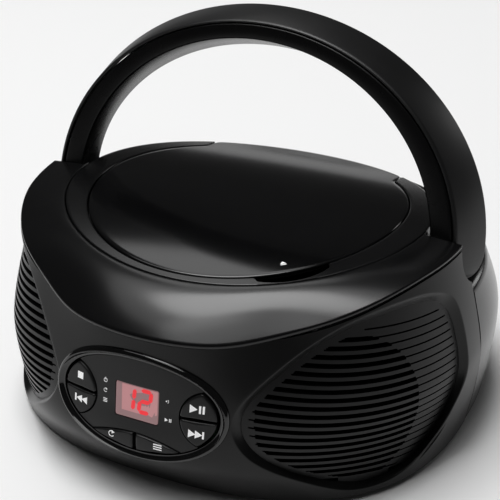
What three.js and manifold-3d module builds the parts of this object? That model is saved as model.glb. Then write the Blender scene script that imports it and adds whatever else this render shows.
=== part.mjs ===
// Portable CD boombox with a swing handle, modelled as an assembly of separate solids.
// Millimetres, +Z up, -Y is the front, +X the right-hand side as the listener sees it.
// The plan origin is the middle of the disc and z = 0 is the surface that the feet stand on.
import * as THREE from 'three';
import { mergeVertices } from 'three/addons/utils/BufferGeometryUtils.js';
import Module from 'manifold-3d';

const wasm = await Module();
wasm.setup();

// ---------------------------------------------------------------- driving dimensions
const DEG = Math.PI / 180;
const GAP = 0.35;                 // air between pieces that touch on the real object

// cabinet sections: plan superellipses |x/a|^n + |y/b|^n = 1 at a height z
const BASE_Z = 3;
const FRONT_SECTIONS = [
  { z: BASE_Z, a: 112, b: 98.5, n: 2.5 },
  { z: 25, a: 116, b: 112.7, n: 2.15 },
  { z: 48, a: 117.3, b: 109.6, n: 2.25 },
];
const REAR_SECTIONS = [
  { z: BASE_Z, a: 112, b: 106, n: 2.5 },
  { z: 25, a: 116, b: 114.4, n: 2.3 },
  { z: 48, a: 117.3, b: 113.8, n: 2.3 },
];
const SHELF_Z = 77.2;             // rear shelf that the folded handle rests on
const SHELF_SECTION = { a: 112, b: 97, n: 2.2 };
const FRONT_WALL = 4.4;
const REAR_WALL = 3;

// visor crease: the sharp lower edge of the glossy top shell
const CREASE_RADIUS = 107.4;
const CREASE_WAIST = 3;
const CREASE_WAIST_ANGLE = 34;
const CREASE_FRONT_Z = 82.8;
const CREASE_SIDE_Z = 98.6;
const CREASE_OVERHANG = 3;
const LIP = 2.4;                  // thickness of the top shell

// crowned top: height falls off with the square of the distance from the crown line
const CROWN_Z = 100.3;
const CROWN_Y = -25;
const CROWN_K = 0.00122;

// lid, ring and disc well
const LID_RADIUS = 75.2;
const LID_THICK = 2.4;
const LID_DOME = 1;
const TONGUE_HALF = 51.7;
const LID_GAP = 0.6;
const RING_A = 88.5;
const RING_FRONT_B = 79.5;
const RING_REAR_B = 81.2;
const RING_THICK = 2.4;
const RING_SKIRT = 2.2;
const RING_SKIRT_Z = 69;
const RING_REAR_Z = 74.4;           // top of the skirt under the tongue, which swings down there
const RING_END = 140.6;           // the ring's top stops at the tongue, in degrees
const NOTCH_ANGLE = 41;           // finger notch, seen from the disc centre
const NOTCH_HALF = 17;            // half its length, in degrees
const DECK_DROP = 7;              // flange of the well below the crowned top
const WELL_RADIUS = 62;
const WELL_WALL = 2;
const FLOOR_Z = 80;
const FLOOR_THICK = 2;
const HINGE_Y = 71;
const HINGE_Z = 82.6;
const HINGE_X = 15;
const LID_OPEN_ARM = 3.1;
const TONGUE_CLEAR = 26;          // the deck's corners are cut away outside this for the opening tongue
const STIFFENER_END = 60;         // how far back the lid's inner ring runs
const LIP_Z = 78.2;               // rear edge of the lid hangs down to the shelf

// handle: half-ellipse edges in the handle's own upright plane, pivot at its origin
const PIVOT_Y = 4.9;
const PIVOT_Z = 88.9;
const HANDLE_LEAN = 14.2;
const HANDLE_HALF = 10.4;         // half the width of the grip, front to back
const OUTER_FRONT = { a: 104.2, b: 90.5 };
const OUTER_BACK = { a: 112.2, b: 97.2 };
const INNER_FRONT = { a: 91.6, b: 82.3 };
const INNER_BACK = { a: 94.4, b: 77.7 };
const COVER_THICK = 2.2;
const PIN_RADIUS = 3;

// speakers: closed outlines as (angle from the front, height) on the cabinet surface
const GRILLE_OUTLINE = [
  [24.3, 46], [28.6, 60], [40, 75.5], [53, 85], [67, 87], [77.5, 79], [81, 63],
  [81.2, 46], [78, 28.5], [69.5, 14], [58, 7.6], [46, 10.8], [33, 25],
];
const RIM_GROW = 1.075;           // rim outline over grille outline
const GRILLE_SINK = 3.4;
const GRILLE_THICK = 1.8;
const DRIVER_ANGLE = 47;
const DRIVER_Z = 44;
const DRIVER_RADIUS = 36;
const DRIVER_DEPTH = 19;
const GRILLE_ROUND = 38.5;         // round field of slots in front of the driver
const SLOT_COUNT = 8;
const SLOT_PITCH = 8.4;
const SLOT_WIDTH = 3.4;

// control panel: ellipses on the front of the cabinet, centred at PANEL_Z
const PANEL_Z = 48.7;
const BEZEL = { x: 42.6, z: 25 };
const PLATE = { x: 38.3, z: 20.6 };
const BEZEL_PROUD = 1.8;
const PLATE_SINK = 0.4;
const PLATE_THICK = 2;
const BUTTON_PROUD = 0.5;
const BUTTON_DEPTH = 4.2;
const BUTTON_ARC = { x: 33.2, z: 48.2, r: 12.6 };
const PROGRAM_ARC = { end: 23.5, endZ: 31, topZ: 36, meet: 20.8 };
const WINDOW = { x: 10.6, bottom: 41.8, top: 57.4 };

// ---------------------------------------------------------------- small helpers
const material = (color, roughness, metalness = 0) =>
  new THREE.MeshStandardMaterial({ color, roughness, metalness });

const LOOKS = {
  gloss: material(0x0c0c0d, 0.12),
  satin: material(0x1a1a1b, 0.45),
  grille: material(0x202021, 0.6),
  dark: material(0x0a0a0a, 0.7),
  rubber: material(0x111111, 0.9),
  metal: material(0xb8b8ba, 0.3, 1),
  board: material(0x1d4a2a, 0.6),
  window: material(0xc79a9a, 0.15),
  lens: material(0x27304a, 0.05),
  paper: material(0x151515, 0.85),
};

const boombox = new THREE.Group();

// a set of pieces that belong together, standing at its own pivot, axis or face
function set(position, rotation = [0, 0, 0]) {
  const group = new THREE.Group();
  group.position.set(...position);
  group.rotation.set(...rotation);
  boombox.add(group);
  boombox.updateMatrixWorld(true);
  return group;
}

function signedVolume(position, index) {
  const [a, b, c] = [new THREE.Vector3(), new THREE.Vector3(), new THREE.Vector3()];
  let sum = 0;
  for (let i = 0; i < index.length; i += 3) {
    a.fromArray(position, 3 * index[i]);
    b.fromArray(position, 3 * index[i + 1]);
    c.fromArray(position, 3 * index[i + 2]);
    sum += a.dot(b.cross(c)) / 6;
  }
  return sum;
}

// a closed geometry with its faces pointing out, as a manifold solid
function solid(geometry, matrix = new THREE.Matrix4()) {
  const bare = geometry.clone();
  bare.deleteAttribute('normal');
  bare.deleteAttribute('uv');
  bare.applyMatrix4(matrix);
  const merged = mergeVertices(bare, 1e-4);
  const vertProperties = new Float32Array(merged.attributes.position.array);
  const triVerts = new Uint32Array(merged.index.array);
  if (signedVolume(vertProperties, triVerts) < 0) {
    for (let i = 0; i < triVerts.length; i += 3) {
      [triVerts[i], triVerts[i + 1]] = [triVerts[i + 1], triVerts[i]];
    }
  }
  return new wasm.Manifold(new wasm.Mesh({ numProp: 3, vertProperties, triVerts }));
}

function geometryOf(manifold) {
  const mesh = manifold.getMesh();
  const geometry = new THREE.BufferGeometry();
  geometry.setAttribute('position', new THREE.BufferAttribute(new Float32Array(mesh.vertProperties), 3));
  geometry.setIndex(new THREE.BufferAttribute(new Uint32Array(mesh.triVerts), 1));
  geometry.computeVertexNormals();
  return geometry;
}

// puts a shape, cut in the boombox's own frame, into its set with its origin at its own middle
function add(group, name, shape, look) {
  const geometry = geometryOf(shape.simplify(0.08));
  geometry.applyMatrix4(group.matrixWorld.clone().invert());
  geometry.computeBoundingBox();
  const middle = geometry.boundingBox.getCenter(new THREE.Vector3());
  geometry.translate(-middle.x, -middle.y, -middle.z);
  const mesh = new THREE.Mesh(geometry, look);
  mesh.name = name;
  mesh.position.copy(middle);
  group.add(mesh);
  return mesh;
}

const unite = (first, ...rest) => rest.reduce((sum, next) => sum.add(next), first);
const cut = (first, ...rest) => rest.reduce((sum, next) => sum.subtract(next), first);

function box(x0, x1, y0, y1, z0, z1) {
  const geometry = new THREE.BoxGeometry(x1 - x0, y1 - y0, z1 - z0);
  geometry.translate((x0 + x1) / 2, (y0 + y1) / 2, (z0 + z1) / 2);
  return solid(geometry);
}

// cylinder between two heights on its own axis; axis is 'x', 'y' or 'z'
function rod(axis, radius, from, to, at, segments = 24) {
  const geometry = new THREE.CylinderGeometry(radius, radius, to - from, segments);
  geometry.translate(0, (from + to) / 2, 0);
  if (axis === 'x') geometry.rotateZ(-Math.PI / 2);
  if (axis === 'z') geometry.rotateX(Math.PI / 2);
  geometry.translate(...at);
  return solid(geometry);
}

// turned solid: profile points are (radius, height) and start and end on the axis
function turned(profile, segments = 24) {
  const points = profile.map(([r, z]) => new THREE.Vector2(r, z));
  const geometry = new THREE.LatheGeometry(points, segments);
  geometry.rotateX(Math.PI / 2);
  return solid(geometry);
}

// smooth curve through (z, r) knots, read at z
function throughKnots(knots, z) {
  const last = knots.length - 1;
  let i = 0;
  while (i < last - 1 && z > knots[i + 1][0]) i += 1;
  const slope = (k) => {
    const [lo, hi] = [Math.max(k - 1, 0), Math.min(k + 1, last)];
    return (knots[hi][1] - knots[lo][1]) / (knots[hi][0] - knots[lo][0]);
  };
  const span = knots[i + 1][0] - knots[i][0];
  const t = (z - knots[i][0]) / span;
  const [t2, t3] = [t * t, t * t * t];
  return (2 * t3 - 3 * t2 + 1) * knots[i][1] + (t3 - 2 * t2 + t) * span * slope(i)
    + (3 * t2 - 2 * t3) * knots[i + 1][1] + (t3 - t2) * span * slope(i + 1);
}

const smooth = (from, to, v) => {
  const t = Math.min(Math.max((v - from) / (to - from), 0), 1);
  return t * t * (3 - 2 * t);
};

// ---------------------------------------------------------------- surfaces of the cabinet
// angles are in degrees from the front (-Y), positive towards +X
const polar = (angle, r, z) =>
  new THREE.Vector3(r * Math.sin(angle * DEG), -r * Math.cos(angle * DEG), z);

const sectionRadius = ({ a, b, n }, angle) => {
  const [s, c] = [Math.abs(Math.sin(angle * DEG)), Math.abs(Math.cos(angle * DEG))];
  return ((s / a) ** n + (c / b) ** n) ** (-1 / n);
};

const creaseRadius = (angle) =>
  CREASE_RADIUS - CREASE_WAIST * Math.exp(-(((Math.abs(angle) - CREASE_WAIST_ANGLE) / 13) ** 2));

const creaseZ = (angle) =>
  CREASE_FRONT_Z + (CREASE_SIDE_Z - CREASE_FRONT_Z) * smooth(16, 74, Math.abs(angle));

const crownZ = (y) => CROWN_Z - CROWN_K * (y - CROWN_Y) ** 2;

const shellTopZ = (angle) => creaseZ(angle) - LIP - GAP;

function frontRadius(angle, z) {
  const overhang = CREASE_OVERHANG * (1 - smooth(18, 46, Math.abs(angle)));
  const knots = FRONT_SECTIONS.map((s) => [s.z, sectionRadius(s, angle)]);
  knots.push([shellTopZ(angle), creaseRadius(angle) - overhang]);
  return throughKnots(knots, z);
}

function rearRadius(angle, z) {
  const knots = REAR_SECTIONS.map((s) => [s.z, sectionRadius(s, angle)]);
  knots.push([SHELF_Z, sectionRadius(SHELF_SECTION, angle)]);
  return throughKnots(knots, z);
}

// plan point on an ellipse with its own front and rear half-depth
function ringRadius(angle, grow = 0) {
  const b = (Math.cos(angle * DEG) > 0 ? RING_FRONT_B : RING_REAR_B) + grow;
  return sectionRadius({ a: RING_A + grow, b, n: 2 }, angle);
}

// lid outline: a circle with a straight-sided tongue towards the hinge
function lidRadius(angle, grow = 0) {
  const s = Math.abs(Math.sin(angle * DEG));
  const circle = LID_RADIUS + grow;
  if (Math.cos(angle * DEG) >= 0) return circle;
  const side = (TONGUE_HALF + grow) / Math.max(s, 1e-6);
  return Math.max(circle, Math.min(side, ringRadius(angle)));
}

// ---------------------------------------------------------------- mesh builders
function fromGrid(vertices, triangles) {
  const geometry = new THREE.BufferGeometry();
  geometry.setAttribute('position', new THREE.Float32BufferAttribute(vertices.flatMap((v) => v.toArray()), 3));
  geometry.setIndex(triangles.flat());
  return solid(geometry);
}

// closed solid between an outer and an inner surface over a grid of columns u and rows v
function shell({ us, vs, outer, inner, wrap = false }) {
  const across = us.length;
  const vertices = [];
  for (const surface of [outer, inner]) {
    for (const v of vs) for (const u of us) vertices.push(surface(u, v));
  }
  const at = (side, row, col) => side * across * vs.length + row * across + (col % across);
  const triangles = [];
  const quad = (a, b, c, d) => triangles.push([a, b, c], [a, c, d]);
  const cols = wrap ? across : across - 1;
  for (let j = 0; j < cols; j += 1) {
    for (let i = 0; i < vs.length - 1; i += 1) {
      quad(at(0, i, j), at(0, i, j + 1), at(0, i + 1, j + 1), at(0, i + 1, j));
      quad(at(1, i, j), at(1, i + 1, j), at(1, i + 1, j + 1), at(1, i, j + 1));
    }
    const top = vs.length - 1;
    quad(at(0, 0, j), at(1, 0, j), at(1, 0, j + 1), at(0, 0, j + 1));
    quad(at(0, top, j), at(0, top, j + 1), at(1, top, j + 1), at(1, top, j));
  }
  if (!wrap) {
    const end = across - 1;
    for (let i = 0; i < vs.length - 1; i += 1) {
      quad(at(0, i, 0), at(0, i + 1, 0), at(1, i + 1, 0), at(1, i, 0));
      quad(at(0, i, end), at(1, i, end), at(1, i + 1, end), at(0, i + 1, end));
    }
  }
  return fromGrid(vertices, triangles);
}

// closed plate: an outline filled from its middle, between a top and a bottom surface
// layers run from one cap to the other; each is a function (angleIndex, scale) => Vector3
function plate({ count, rings, layers }) {
  const vertices = [];
  const capStart = [];
  for (const layer of [layers[0], layers[layers.length - 1]]) {
    capStart.push(vertices.length);
    vertices.push(layer(0, 0));
    for (let k = 1; k <= rings; k += 1) {
      for (let j = 0; j < count; j += 1) vertices.push(layer(j, k / rings));
    }
  }
  const rim = (cap, j) => capStart[cap] + 1 + (rings - 1) * count + (j % count);
  const walls = [(j) => rim(0, j)];
  layers.slice(1, -1).forEach((layer) => {
    const start = vertices.length;
    for (let j = 0; j < count; j += 1) vertices.push(layer(j, 1));
    walls.push((j) => start + (j % count));
  });
  walls.push((j) => rim(1, j));
  const triangles = [];
  [0, 1].forEach((cap) => {
    const tri = (a, b, c) => triangles.push(cap === 0 ? [a, b, c] : [a, c, b]);
    const at = (k, j) => capStart[cap] + 1 + (k - 1) * count + (j % count);
    for (let j = 0; j < count; j += 1) {
      tri(capStart[cap], at(1, j), at(1, j + 1));
      for (let k = 1; k < rings; k += 1) {
        tri(at(k, j), at(k + 1, j), at(k + 1, j + 1));
        tri(at(k, j), at(k + 1, j + 1), at(k, j + 1));
      }
    }
  });
  for (let w = 0; w < walls.length - 1; w += 1) {
    for (let j = 0; j < count; j += 1) {
      triangles.push([walls[w](j), walls[w + 1](j), walls[w + 1](j + 1)]);
      triangles.push([walls[w](j), walls[w + 1](j + 1), walls[w](j + 1)]);
    }
  }
  return fromGrid(vertices, triangles);
}

// patch of the cabinet surface inside an outline of (u, z) points;
// steps are { offset, grow } from the outside to the inside
function patch(outline, steps, place, rings = 3) {
  const middle = outline.reduce(([u, z], p) => [u + p[0] / outline.length, z + p[1] / outline.length], [0, 0]);
  const layers = steps.map(({ offset, grow = 1 }) => (j, scale) => {
    const s = scale * grow;
    const u = middle[0] + (outline[j][0] - middle[0]) * s;
    const z = middle[1] + (outline[j][1] - middle[1]) * s;
    return place(u, z, offset);
  });
  return plate({ count: outline.length, rings, layers });
}

// placement on the cabinet by angle and height
const onSide = (angle, z, offset) => polar(angle, frontRadius(angle, z) + offset, z);

// placement on the front by x and height
function onFront(x, z, offset) {
  let angle = 0;
  for (let i = 0; i < 8; i += 1) {
    angle = Math.asin(x / frontRadius(angle, z)) / DEG;
  }
  const point = polar(angle, frontRadius(angle, z), z);
  const lean = angle * 0.8;
  return point.add(new THREE.Vector3(Math.sin(lean * DEG), -Math.cos(lean * DEG), 0).multiplyScalar(offset));
}

function closedCurve(points, count) {
  const curve = new THREE.CatmullRomCurve3(points.map(([u, z]) => new THREE.Vector3(u, z, 0)), true, 'centripetal');
  return curve.getSpacedPoints(count).slice(0, count).map((p) => [p.x, p.y]);
}

const ellipse = ({ x, z }, count) => Array.from({ length: count }, (_, i) => {
  const t = (i / count) * 2 * Math.PI;
  return [x * Math.cos(t), PANEL_Z + z * Math.sin(t)];
});

const range = (from, to, count) =>
  Array.from({ length: count + 1 }, (_, i) => from + ((to - from) * i) / count);

// ---------------------------------------------------------------- cutters shared by pieces
const handlePose = new THREE.Matrix4()
  .makeTranslation(0, PIVOT_Y, PIVOT_Z)
  .multiply(new THREE.Matrix4().makeRotationX(-HANDLE_LEAN * DEG));

// pocket for one handle leg: round at the bottom, open upwards and to the rear
function pocket(side) {
  const clear = 0.8;
  const [inner, outer] = side > 0 ? [89.6, 130] : [-130, -89.6];
  const round = rod('x', HANDLE_HALF + clear, inner, outer, [0, PIVOT_Y, PIVOT_Z], 32);
  const upright = new THREE.BoxGeometry(outer - inner, 60, 50);
  upright.translate((inner + outer) / 2, 30 - HANDLE_HALF - clear, 25);
  return unite(round, solid(upright, handlePose));
}
const pockets = [pocket(1), pocket(-1)];

const grilleOutline = closedCurve(GRILLE_OUTLINE, 36);
const mirrored = (outline) => outline.map(([u, z]) => [-u, z]);
const speakerOutline = { right: grilleOutline, left: mirrored(grilleOutline) };

// ---------------------------------------------------------------- cabinet
function frontShell() {
  const us = range(-90 + 0.15, 90 - 0.15, 48);
  const vs = range(0, 1, 8);
  const height = (u, v) => BASE_Z + v * (shellTopZ(u) - BASE_Z);
  const body = shell({
    us,
    vs,
    outer: (u, v) => polar(u, frontRadius(u, height(u, v)), height(u, v)),
    inner: (u, v) => polar(u, frontRadius(u, height(u, v)) - FRONT_WALL, height(u, v)),
  });
  const speakers = Object.values(speakerOutline).map((outline) => patch(outline, [
    { offset: 6, grow: RIM_GROW },
    { offset: 0.2, grow: RIM_GROW },
    { offset: -GRILLE_SINK + 0.4, grow: 1.012 },
    { offset: -12, grow: 1.012 },
  ], onSide, 2));
  const panel = patch(ellipse(BEZEL, 32), [{ offset: 5, grow: 0.985 }, { offset: -12, grow: 0.985 }], onFront);
  return cut(body, ...speakers, panel, ...pockets);
}

function rearShell() {
  const us = range(90 + 0.15, 270 - 0.15, 30);
  const wall = shell({
    us,
    vs: range(BASE_Z, SHELF_Z, 5),
    outer: (u, z) => polar(u, rearRadius(u, z), z),
    inner: (u, z) => polar(u, rearRadius(u, z) - REAR_WALL, z),
  });
  const shelf = shell({
    us,
    vs: [0, 1],
    outer: (u, v) => polar(u, ringRadius(u, GAP) * (1 - v) + (rearRadius(u, SHELF_Z) - 0.6) * v, SHELF_Z),
    inner: (u, v) => polar(u, ringRadius(u, GAP) * (1 - v) + (rearRadius(u, SHELF_Z - 2.4) - 0.6) * v, SHELF_Z - 2.4),
  });
  return cut(unite(wall, shelf), ...rearOpenings);
}

function topShell() {
  const drop = (s) => s ** 1.7;
  const surface = (down) => (u, s) => {
    const ring = ringRadius(u, GAP);
    const r = ring + (creaseRadius(u) - ring) * s;
    const from = crownZ(polar(u, ring, 0).y);
    return polar(u, r, from + (creaseZ(u) - from) * drop(s) - down);
  };
  const deck = shell({
    us: range(-89.5, 89.5, 36),
    vs: [0, 0.45, 0.75, 1],
    outer: surface(0),
    inner: surface(LIP),
  });
  return cut(deck, ...pockets);
}

// ---------------------------------------------------------------- rear fittings
function atRear(angle, z) {
  const along = polar(angle + 2, rearRadius(angle + 2, z), z).sub(polar(angle - 2, rearRadius(angle - 2, z), z));
  return new THREE.Matrix4()
    .makeTranslation(...polar(angle, rearRadius(angle, z), z).toArray())
    .multiply(new THREE.Matrix4().makeRotationZ(Math.atan2(along.y, along.x)));
}

// box in a fitting's own frame: x along the wall, y into the cabinet, z up
function fitted(frame, x, y0, y1, z0, z1, centre = 0) {
  const geometry = new THREE.BoxGeometry(2 * x, y1 - y0, z1 - z0);
  geometry.translate(centre, (y0 + y1) / 2, (z0 + z1) / 2);
  return solid(geometry, frame);
}

function fittedRod(frame, radius, y0, y1, segments = 20) {
  const geometry = new THREE.CylinderGeometry(radius, radius, y1 - y0, segments);
  geometry.translate(0, (y0 + y1) / 2, 0);
  return solid(geometry, frame);
}

const INLET = { frame: atRear(137, 20), half: 12, height: 9, depth: 24 };
const KNOB = { frame: atRear(229, 56), radius: 10, proud: 4, well: 12 };
const SWITCH = { frame: atRear(138, 56), half: 7, height: 3.5, nub: 3 };
const AUX = { frame: atRear(146, 56), radius: 4.5 };
const GROMMET = { frame: atRear(214, 60), radius: 3.2 };
const BATTERY = { half: 48, bottom: 16, top: 60, front: 52, wall: 2 };
const DOOR_GAP = 0.5;
const DOOR_THICK = 2.2;

const rearOpenings = [
  fitted(INLET.frame, INLET.half + GAP, -10, 12, -INLET.height - GAP, INLET.height + GAP),
  fittedRod(KNOB.frame, 4, -10, 12),
  fittedRod(KNOB.frame, KNOB.well, -8, 1.4),
  fitted(SWITCH.frame, SWITCH.half, -10, 12, -SWITCH.height, SWITCH.height),
  fittedRod(AUX.frame, AUX.radius + GAP, -10, 12),
  fittedRod(GROMMET.frame, GROMMET.radius + GAP, -10, 12),
  box(-BATTERY.half, BATTERY.half, 60, 130, BATTERY.bottom, BATTERY.top),
];

function batteryDoor() {
  const edge = BATTERY.half / 108;
  const half = Math.asin(edge) / DEG;
  const [low, high] = [BATTERY.bottom + DOOR_GAP, BATTERY.top - DOOR_GAP];
  const panel = shell({
    us: range(180 - half - 4, 180 + half + 4, 16),
    vs: range(low, high, 4),
    outer: (u, z) => polar(u, rearRadius(u, z), z),
    inner: (u, z) => polar(u, rearRadius(u, z) - DOOR_THICK, z),
  });
  const trim = box(-BATTERY.half + DOOR_GAP, BATTERY.half - DOOR_GAP, 60, 130, low, high);
  return panel.intersect(trim);
}

function batteryTray() {
  const { half, bottom, top, front, wall } = BATTERY;
  const outside = box(-half + GAP - wall - 2, half - GAP + wall + 2, front, 92, bottom - 3, top + 3);
  return cut(outside, box(-half, half, front + wall, 130, bottom, top));
}

// ---------------------------------------------------------------- base, feet and screws
const FOOT = { x: 72, y: 66, radius: 8 };
const SCREW = { x: 84, y: 34, radius: 1.6, head: 3.2 };
const CORNERS = [[1, -1, 'front_right'], [-1, -1, 'front_left'], [1, 1, 'rear_right'], [-1, 1, 'rear_left']];

function basePlate() {
  const angles = range(0, 360, 48).slice(0, 48);
  const inset = (u) => (Math.cos(u * DEG) < -0.05
    ? rearRadius(u, BASE_Z) - REAR_WALL - 0.8
    : frontRadius(u, BASE_Z) - FRONT_WALL - 0.8);
  const layer = (z) => (j, scale) => polar(angles[j], inset(angles[j]) * scale, z);
  const disc = plate({ count: angles.length, rings: 1, layers: [layer(BASE_Z + 0.2), layer(BASE_Z + 2.6)] });
  const holes = CORNERS.map(([sx, sy]) =>
    rod('z', SCREW.radius + GAP, 0, 12, [sx * SCREW.x, sy * SCREW.y, 0], 16));
  return cut(disc, ...holes);
}

function foot(sx, sy) {
  const { x, y, radius } = FOOT;
  const profile = [[0, 0], [radius - 1, 0], [radius, 1], [radius, BASE_Z - GAP + 0.2], [0, BASE_Z - GAP + 0.2]];
  return turned(profile, 16).translate([sx * x, sy * y, 0]);
}

function screw(sx, sy) {
  const { x, y, radius, head } = SCREW;
  const profile = [[0, 1.2], [head - 0.6, 1.2], [head, 1.8], [head, BASE_Z - 0.15], [radius, BASE_Z - 0.15],
    [radius, 13], [0.4, 15], [0, 15]];
  return turned(profile, 10).translate([sx * x, sy * y, 0]);
}

// ---------------------------------------------------------------- ring, well and lid
const lidAngles = [...range(0, 128, 16), 132.5, 136.5, 138.5, RING_END, 142, 146, 152, 160, 170];
const aroundLid = [...lidAngles, 180, ...lidAngles.slice(1).map((a) => 360 - a).reverse()];

function lidRing() {
  const inner = (u) => lidRadius(u, LID_GAP);
  const surface = (down) => (u, s) => {
    const r = inner(u) * (1 - s) + ringRadius(u) * s;
    return polar(u, r, crownZ(polar(u, r, 0).y) - down);
  };
  const open = lidAngles.filter((a) => a <= RING_END);
  const us = [...open.slice(1).map((a) => -a).reverse(), ...open];
  const top = shell({ us, vs: [0, 1], outer: surface(0), inner: surface(RING_THICK) });
  const skirtTop = (u, r) =>
    (Math.abs(180 - u) < 179 - RING_END + 0.2 ? RING_REAR_Z : crownZ(polar(u, r, 0).y) - 0.4);
  const skirt = shell({
    us: aroundLid,
    vs: [0, 1],
    outer: (u, v) => {
      const r = ringRadius(u);
      const high = skirtTop(u, r);
      return polar(u, r, RING_SKIRT_Z * (1 - v) + high * v);
    },
    inner: (u, v) => {
      const r = ringRadius(u, -RING_SKIRT);
      const high = skirtTop(u, r);
      return polar(u, r, RING_SKIRT_Z * (1 - v) + high * v);
    },
    wrap: true,
  });
  const notch = shell({
    us: range(NOTCH_ANGLE - NOTCH_HALF, NOTCH_ANGLE + NOTCH_HALF, 10),
    vs: [0, 1],
    outer: (u, v) => polar(u, 70 + v * (8 + 4 * (1 - ((u - NOTCH_ANGLE) / NOTCH_HALF) ** 2)), 110),
    inner: (u, v) => polar(u, 70 + v * (8 + 4 * (1 - ((u - NOTCH_ANGLE) / NOTCH_HALF) ** 2)), 92),
  });
  const pinHole = rod('x', PIN_RADIUS + GAP, -100, 100, [0, PIVOT_Y, PIVOT_Z]);
  return cut(unite(top, skirt), pinHole, notch);
}

const SLED = { x0: 15, x1: 36, half: 10, bottom: 70, top: 77.4, travel: 30, railY: 7, railZ: 73.4, rail: 1.5 };
const LENS_X = 25;

function cdDeck() {
  const under = (y, down) => crownZ(y) - DECK_DROP - down;
  const surface = (down) => (u, s) => {
    const r = (WELL_RADIUS) * (1 - s) + ringRadius(u, -RING_SKIRT - GAP) * s;
    return polar(u, r, under(polar(u, r, 0).y, down));
  };
  const us = range(0, 360, 40).slice(0, 40);
  const flange = shell({ us, vs: [0, 1], outer: surface(0), inner: surface(2), wrap: true });
  const wall = shell({
    us,
    vs: [0, 1],
    outer: (u, v) => {
      const high = under(polar(u, WELL_RADIUS + WELL_WALL, 0).y, 0.5);
      return polar(u, WELL_RADIUS + WELL_WALL, (FLOOR_Z - FLOOR_THICK) * (1 - v) + high * v);
    },
    inner: (u, v) => {
      const high = under(polar(u, WELL_RADIUS, 0).y, 0.5);
      return polar(u, WELL_RADIUS, (FLOOR_Z - FLOOR_THICK) * (1 - v) + high * v);
    },
    wrap: true,
  });
  const floor = turned([[0, FLOOR_Z - FLOOR_THICK], [WELL_RADIUS + 1, FLOOR_Z - FLOOR_THICK],
    [WELL_RADIUS + 1, FLOOR_Z], [0, FLOOR_Z]], 40);
  const lugs = [-1, 1].flatMap((side) => [-1, 1].map((edge) => {
    const at = side * HINGE_X + edge * (LID_OPEN_ARM + 2);
    return box(at - 1, at + 1, HINGE_Y - 5, HINGE_Y + 2.9, HINGE_Z - 5, HINGE_Z + 2.3);
  }));
  const solidDeck = unite(flange, wall, floor, ...lugs);
  const slots = [-1, 1].map((side) =>
    box(side * HINGE_X - LID_OPEN_ARM - 0.6, side * HINGE_X + LID_OPEN_ARM + 0.6, 66.4, 90, 60, 100));
  const collars = [-1, 1].map((side) => rod('x', 7, side * 85 - 5, side * 85 + 5, [0, PIVOT_Y, PIVOT_Z], 16));
  return cut(
    solidDeck,
    ...slots,
    ...collars,
    box(-56, 56, HINGE_Y + 3, 90, 76, 100),
    box(-56, -TONGUE_CLEAR, 61, 90, 76, 100),
    box(TONGUE_CLEAR, 56, 61, 90, 76, 100),
    rod('x', 1.5 + GAP, -60, 60, [0, HINGE_Y, HINGE_Z], 20),
    rod('z', 13, 70, 90, [0, 0, 0]),
    box(12, 60.2, -9, 9, 70, 90),
    box(-5, 5, -73.6, -66, 70, 100),
  );
}

function cdLid() {
  const layer = (down) => (j, scale) => {
    const u = aroundLid[j];
    const r = lidRadius(u) * scale;
    const p = polar(u, r, 0);
    const dome = LID_DOME * Math.max(0, 1 - (r / LID_RADIUS) ** 2);
    return p.setZ(crownZ(p.y) + dome - down);
  };
  const cover = plate({ count: aroundLid.length, rings: 3, layers: [layer(0), layer(LID_THICK)] });
  const stiffenerRing = shell({
    us: range(0, 360, 28).slice(0, 28),
    vs: [0, 1],
    outer: (u, v) => polar(u, 72.6, crownZ(polar(u, 72.6, 0).y) - LID_THICK - 1.6 + 2.2 * v),
    inner: (u, v) => polar(u, 71, crownZ(polar(u, 71, 0).y) - LID_THICK - 1.6 + 2.2 * v),
    wrap: true,
  });
  // the ring stops short of the hinge, where it would swing down into the deck
  const stiffener = cut(stiffenerRing, box(-90, 90, STIFFENER_END, 90, 60, 110));
  const lip = shell({
    us: range(144, 216, 12),
    vs: [0, 1],
    outer: (u, v) => {
      const r = ringRadius(u, -0.15);
      return polar(u, r, LIP_Z * (1 - v) + (crownZ(polar(u, r, 0).y) - 0.6) * v);
    },
    inner: (u, v) => {
      const r = ringRadius(u, -2.2);
      return polar(u, r, LIP_Z * (1 - v) + (crownZ(polar(u, r, 0).y) - 0.6) * v);
    },
  });
  const arms = [-1, 1].map((side) => {
    const at = side * HINGE_X;
    const under = crownZ(HINGE_Y) - LID_THICK + 0.5;
    const arm = box(at - LID_OPEN_ARM, at + LID_OPEN_ARM, HINGE_Y - 3, HINGE_Y + 2.4, HINGE_Z, under);
    const knuckle = rod('x', 3, at - LID_OPEN_ARM, at + LID_OPEN_ARM, [0, HINGE_Y, HINGE_Z], 20);
    return unite(arm, knuckle);
  });
  return cut(unite(cover, stiffener, lip, ...arms), rod('x', 1.5 + GAP, -60, 60, [0, HINGE_Y, HINGE_Z], 20));
}

const hingePin = (side) => {
  const reach = LID_OPEN_ARM + 3.4;
  return rod('x', 1.5, side * HINGE_X - reach, side * HINGE_X + reach, [0, HINGE_Y, HINGE_Z], 16);
};

function lidCatch() {
  const top = crownZ(-70) + 0.1 - LID_THICK - GAP;
  const stem = box(-3.6, 3.6, -70.4, -68.4, 83, top - 0.1);
  const hook = box(-3.6, 3.6, -72.2, -68.4, 83, 85.5);
  return unite(stem, hook);
}

// ---------------------------------------------------------------- disc drive
const spindleHub = () => turned([[0, 77.8], [2, 77.8], [2, 80.4], [11.5, 80.4], [11.5, 82], [7.2, 82.4],
  [7.2, 85.6], [5.4, 87], [0, 87]], 24);

const spindleMotor = () => turned([[0, 63], [11.4, 63], [12, 64], [12, 76.4], [11, 77.4], [0, 77.4]], 24);

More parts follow.
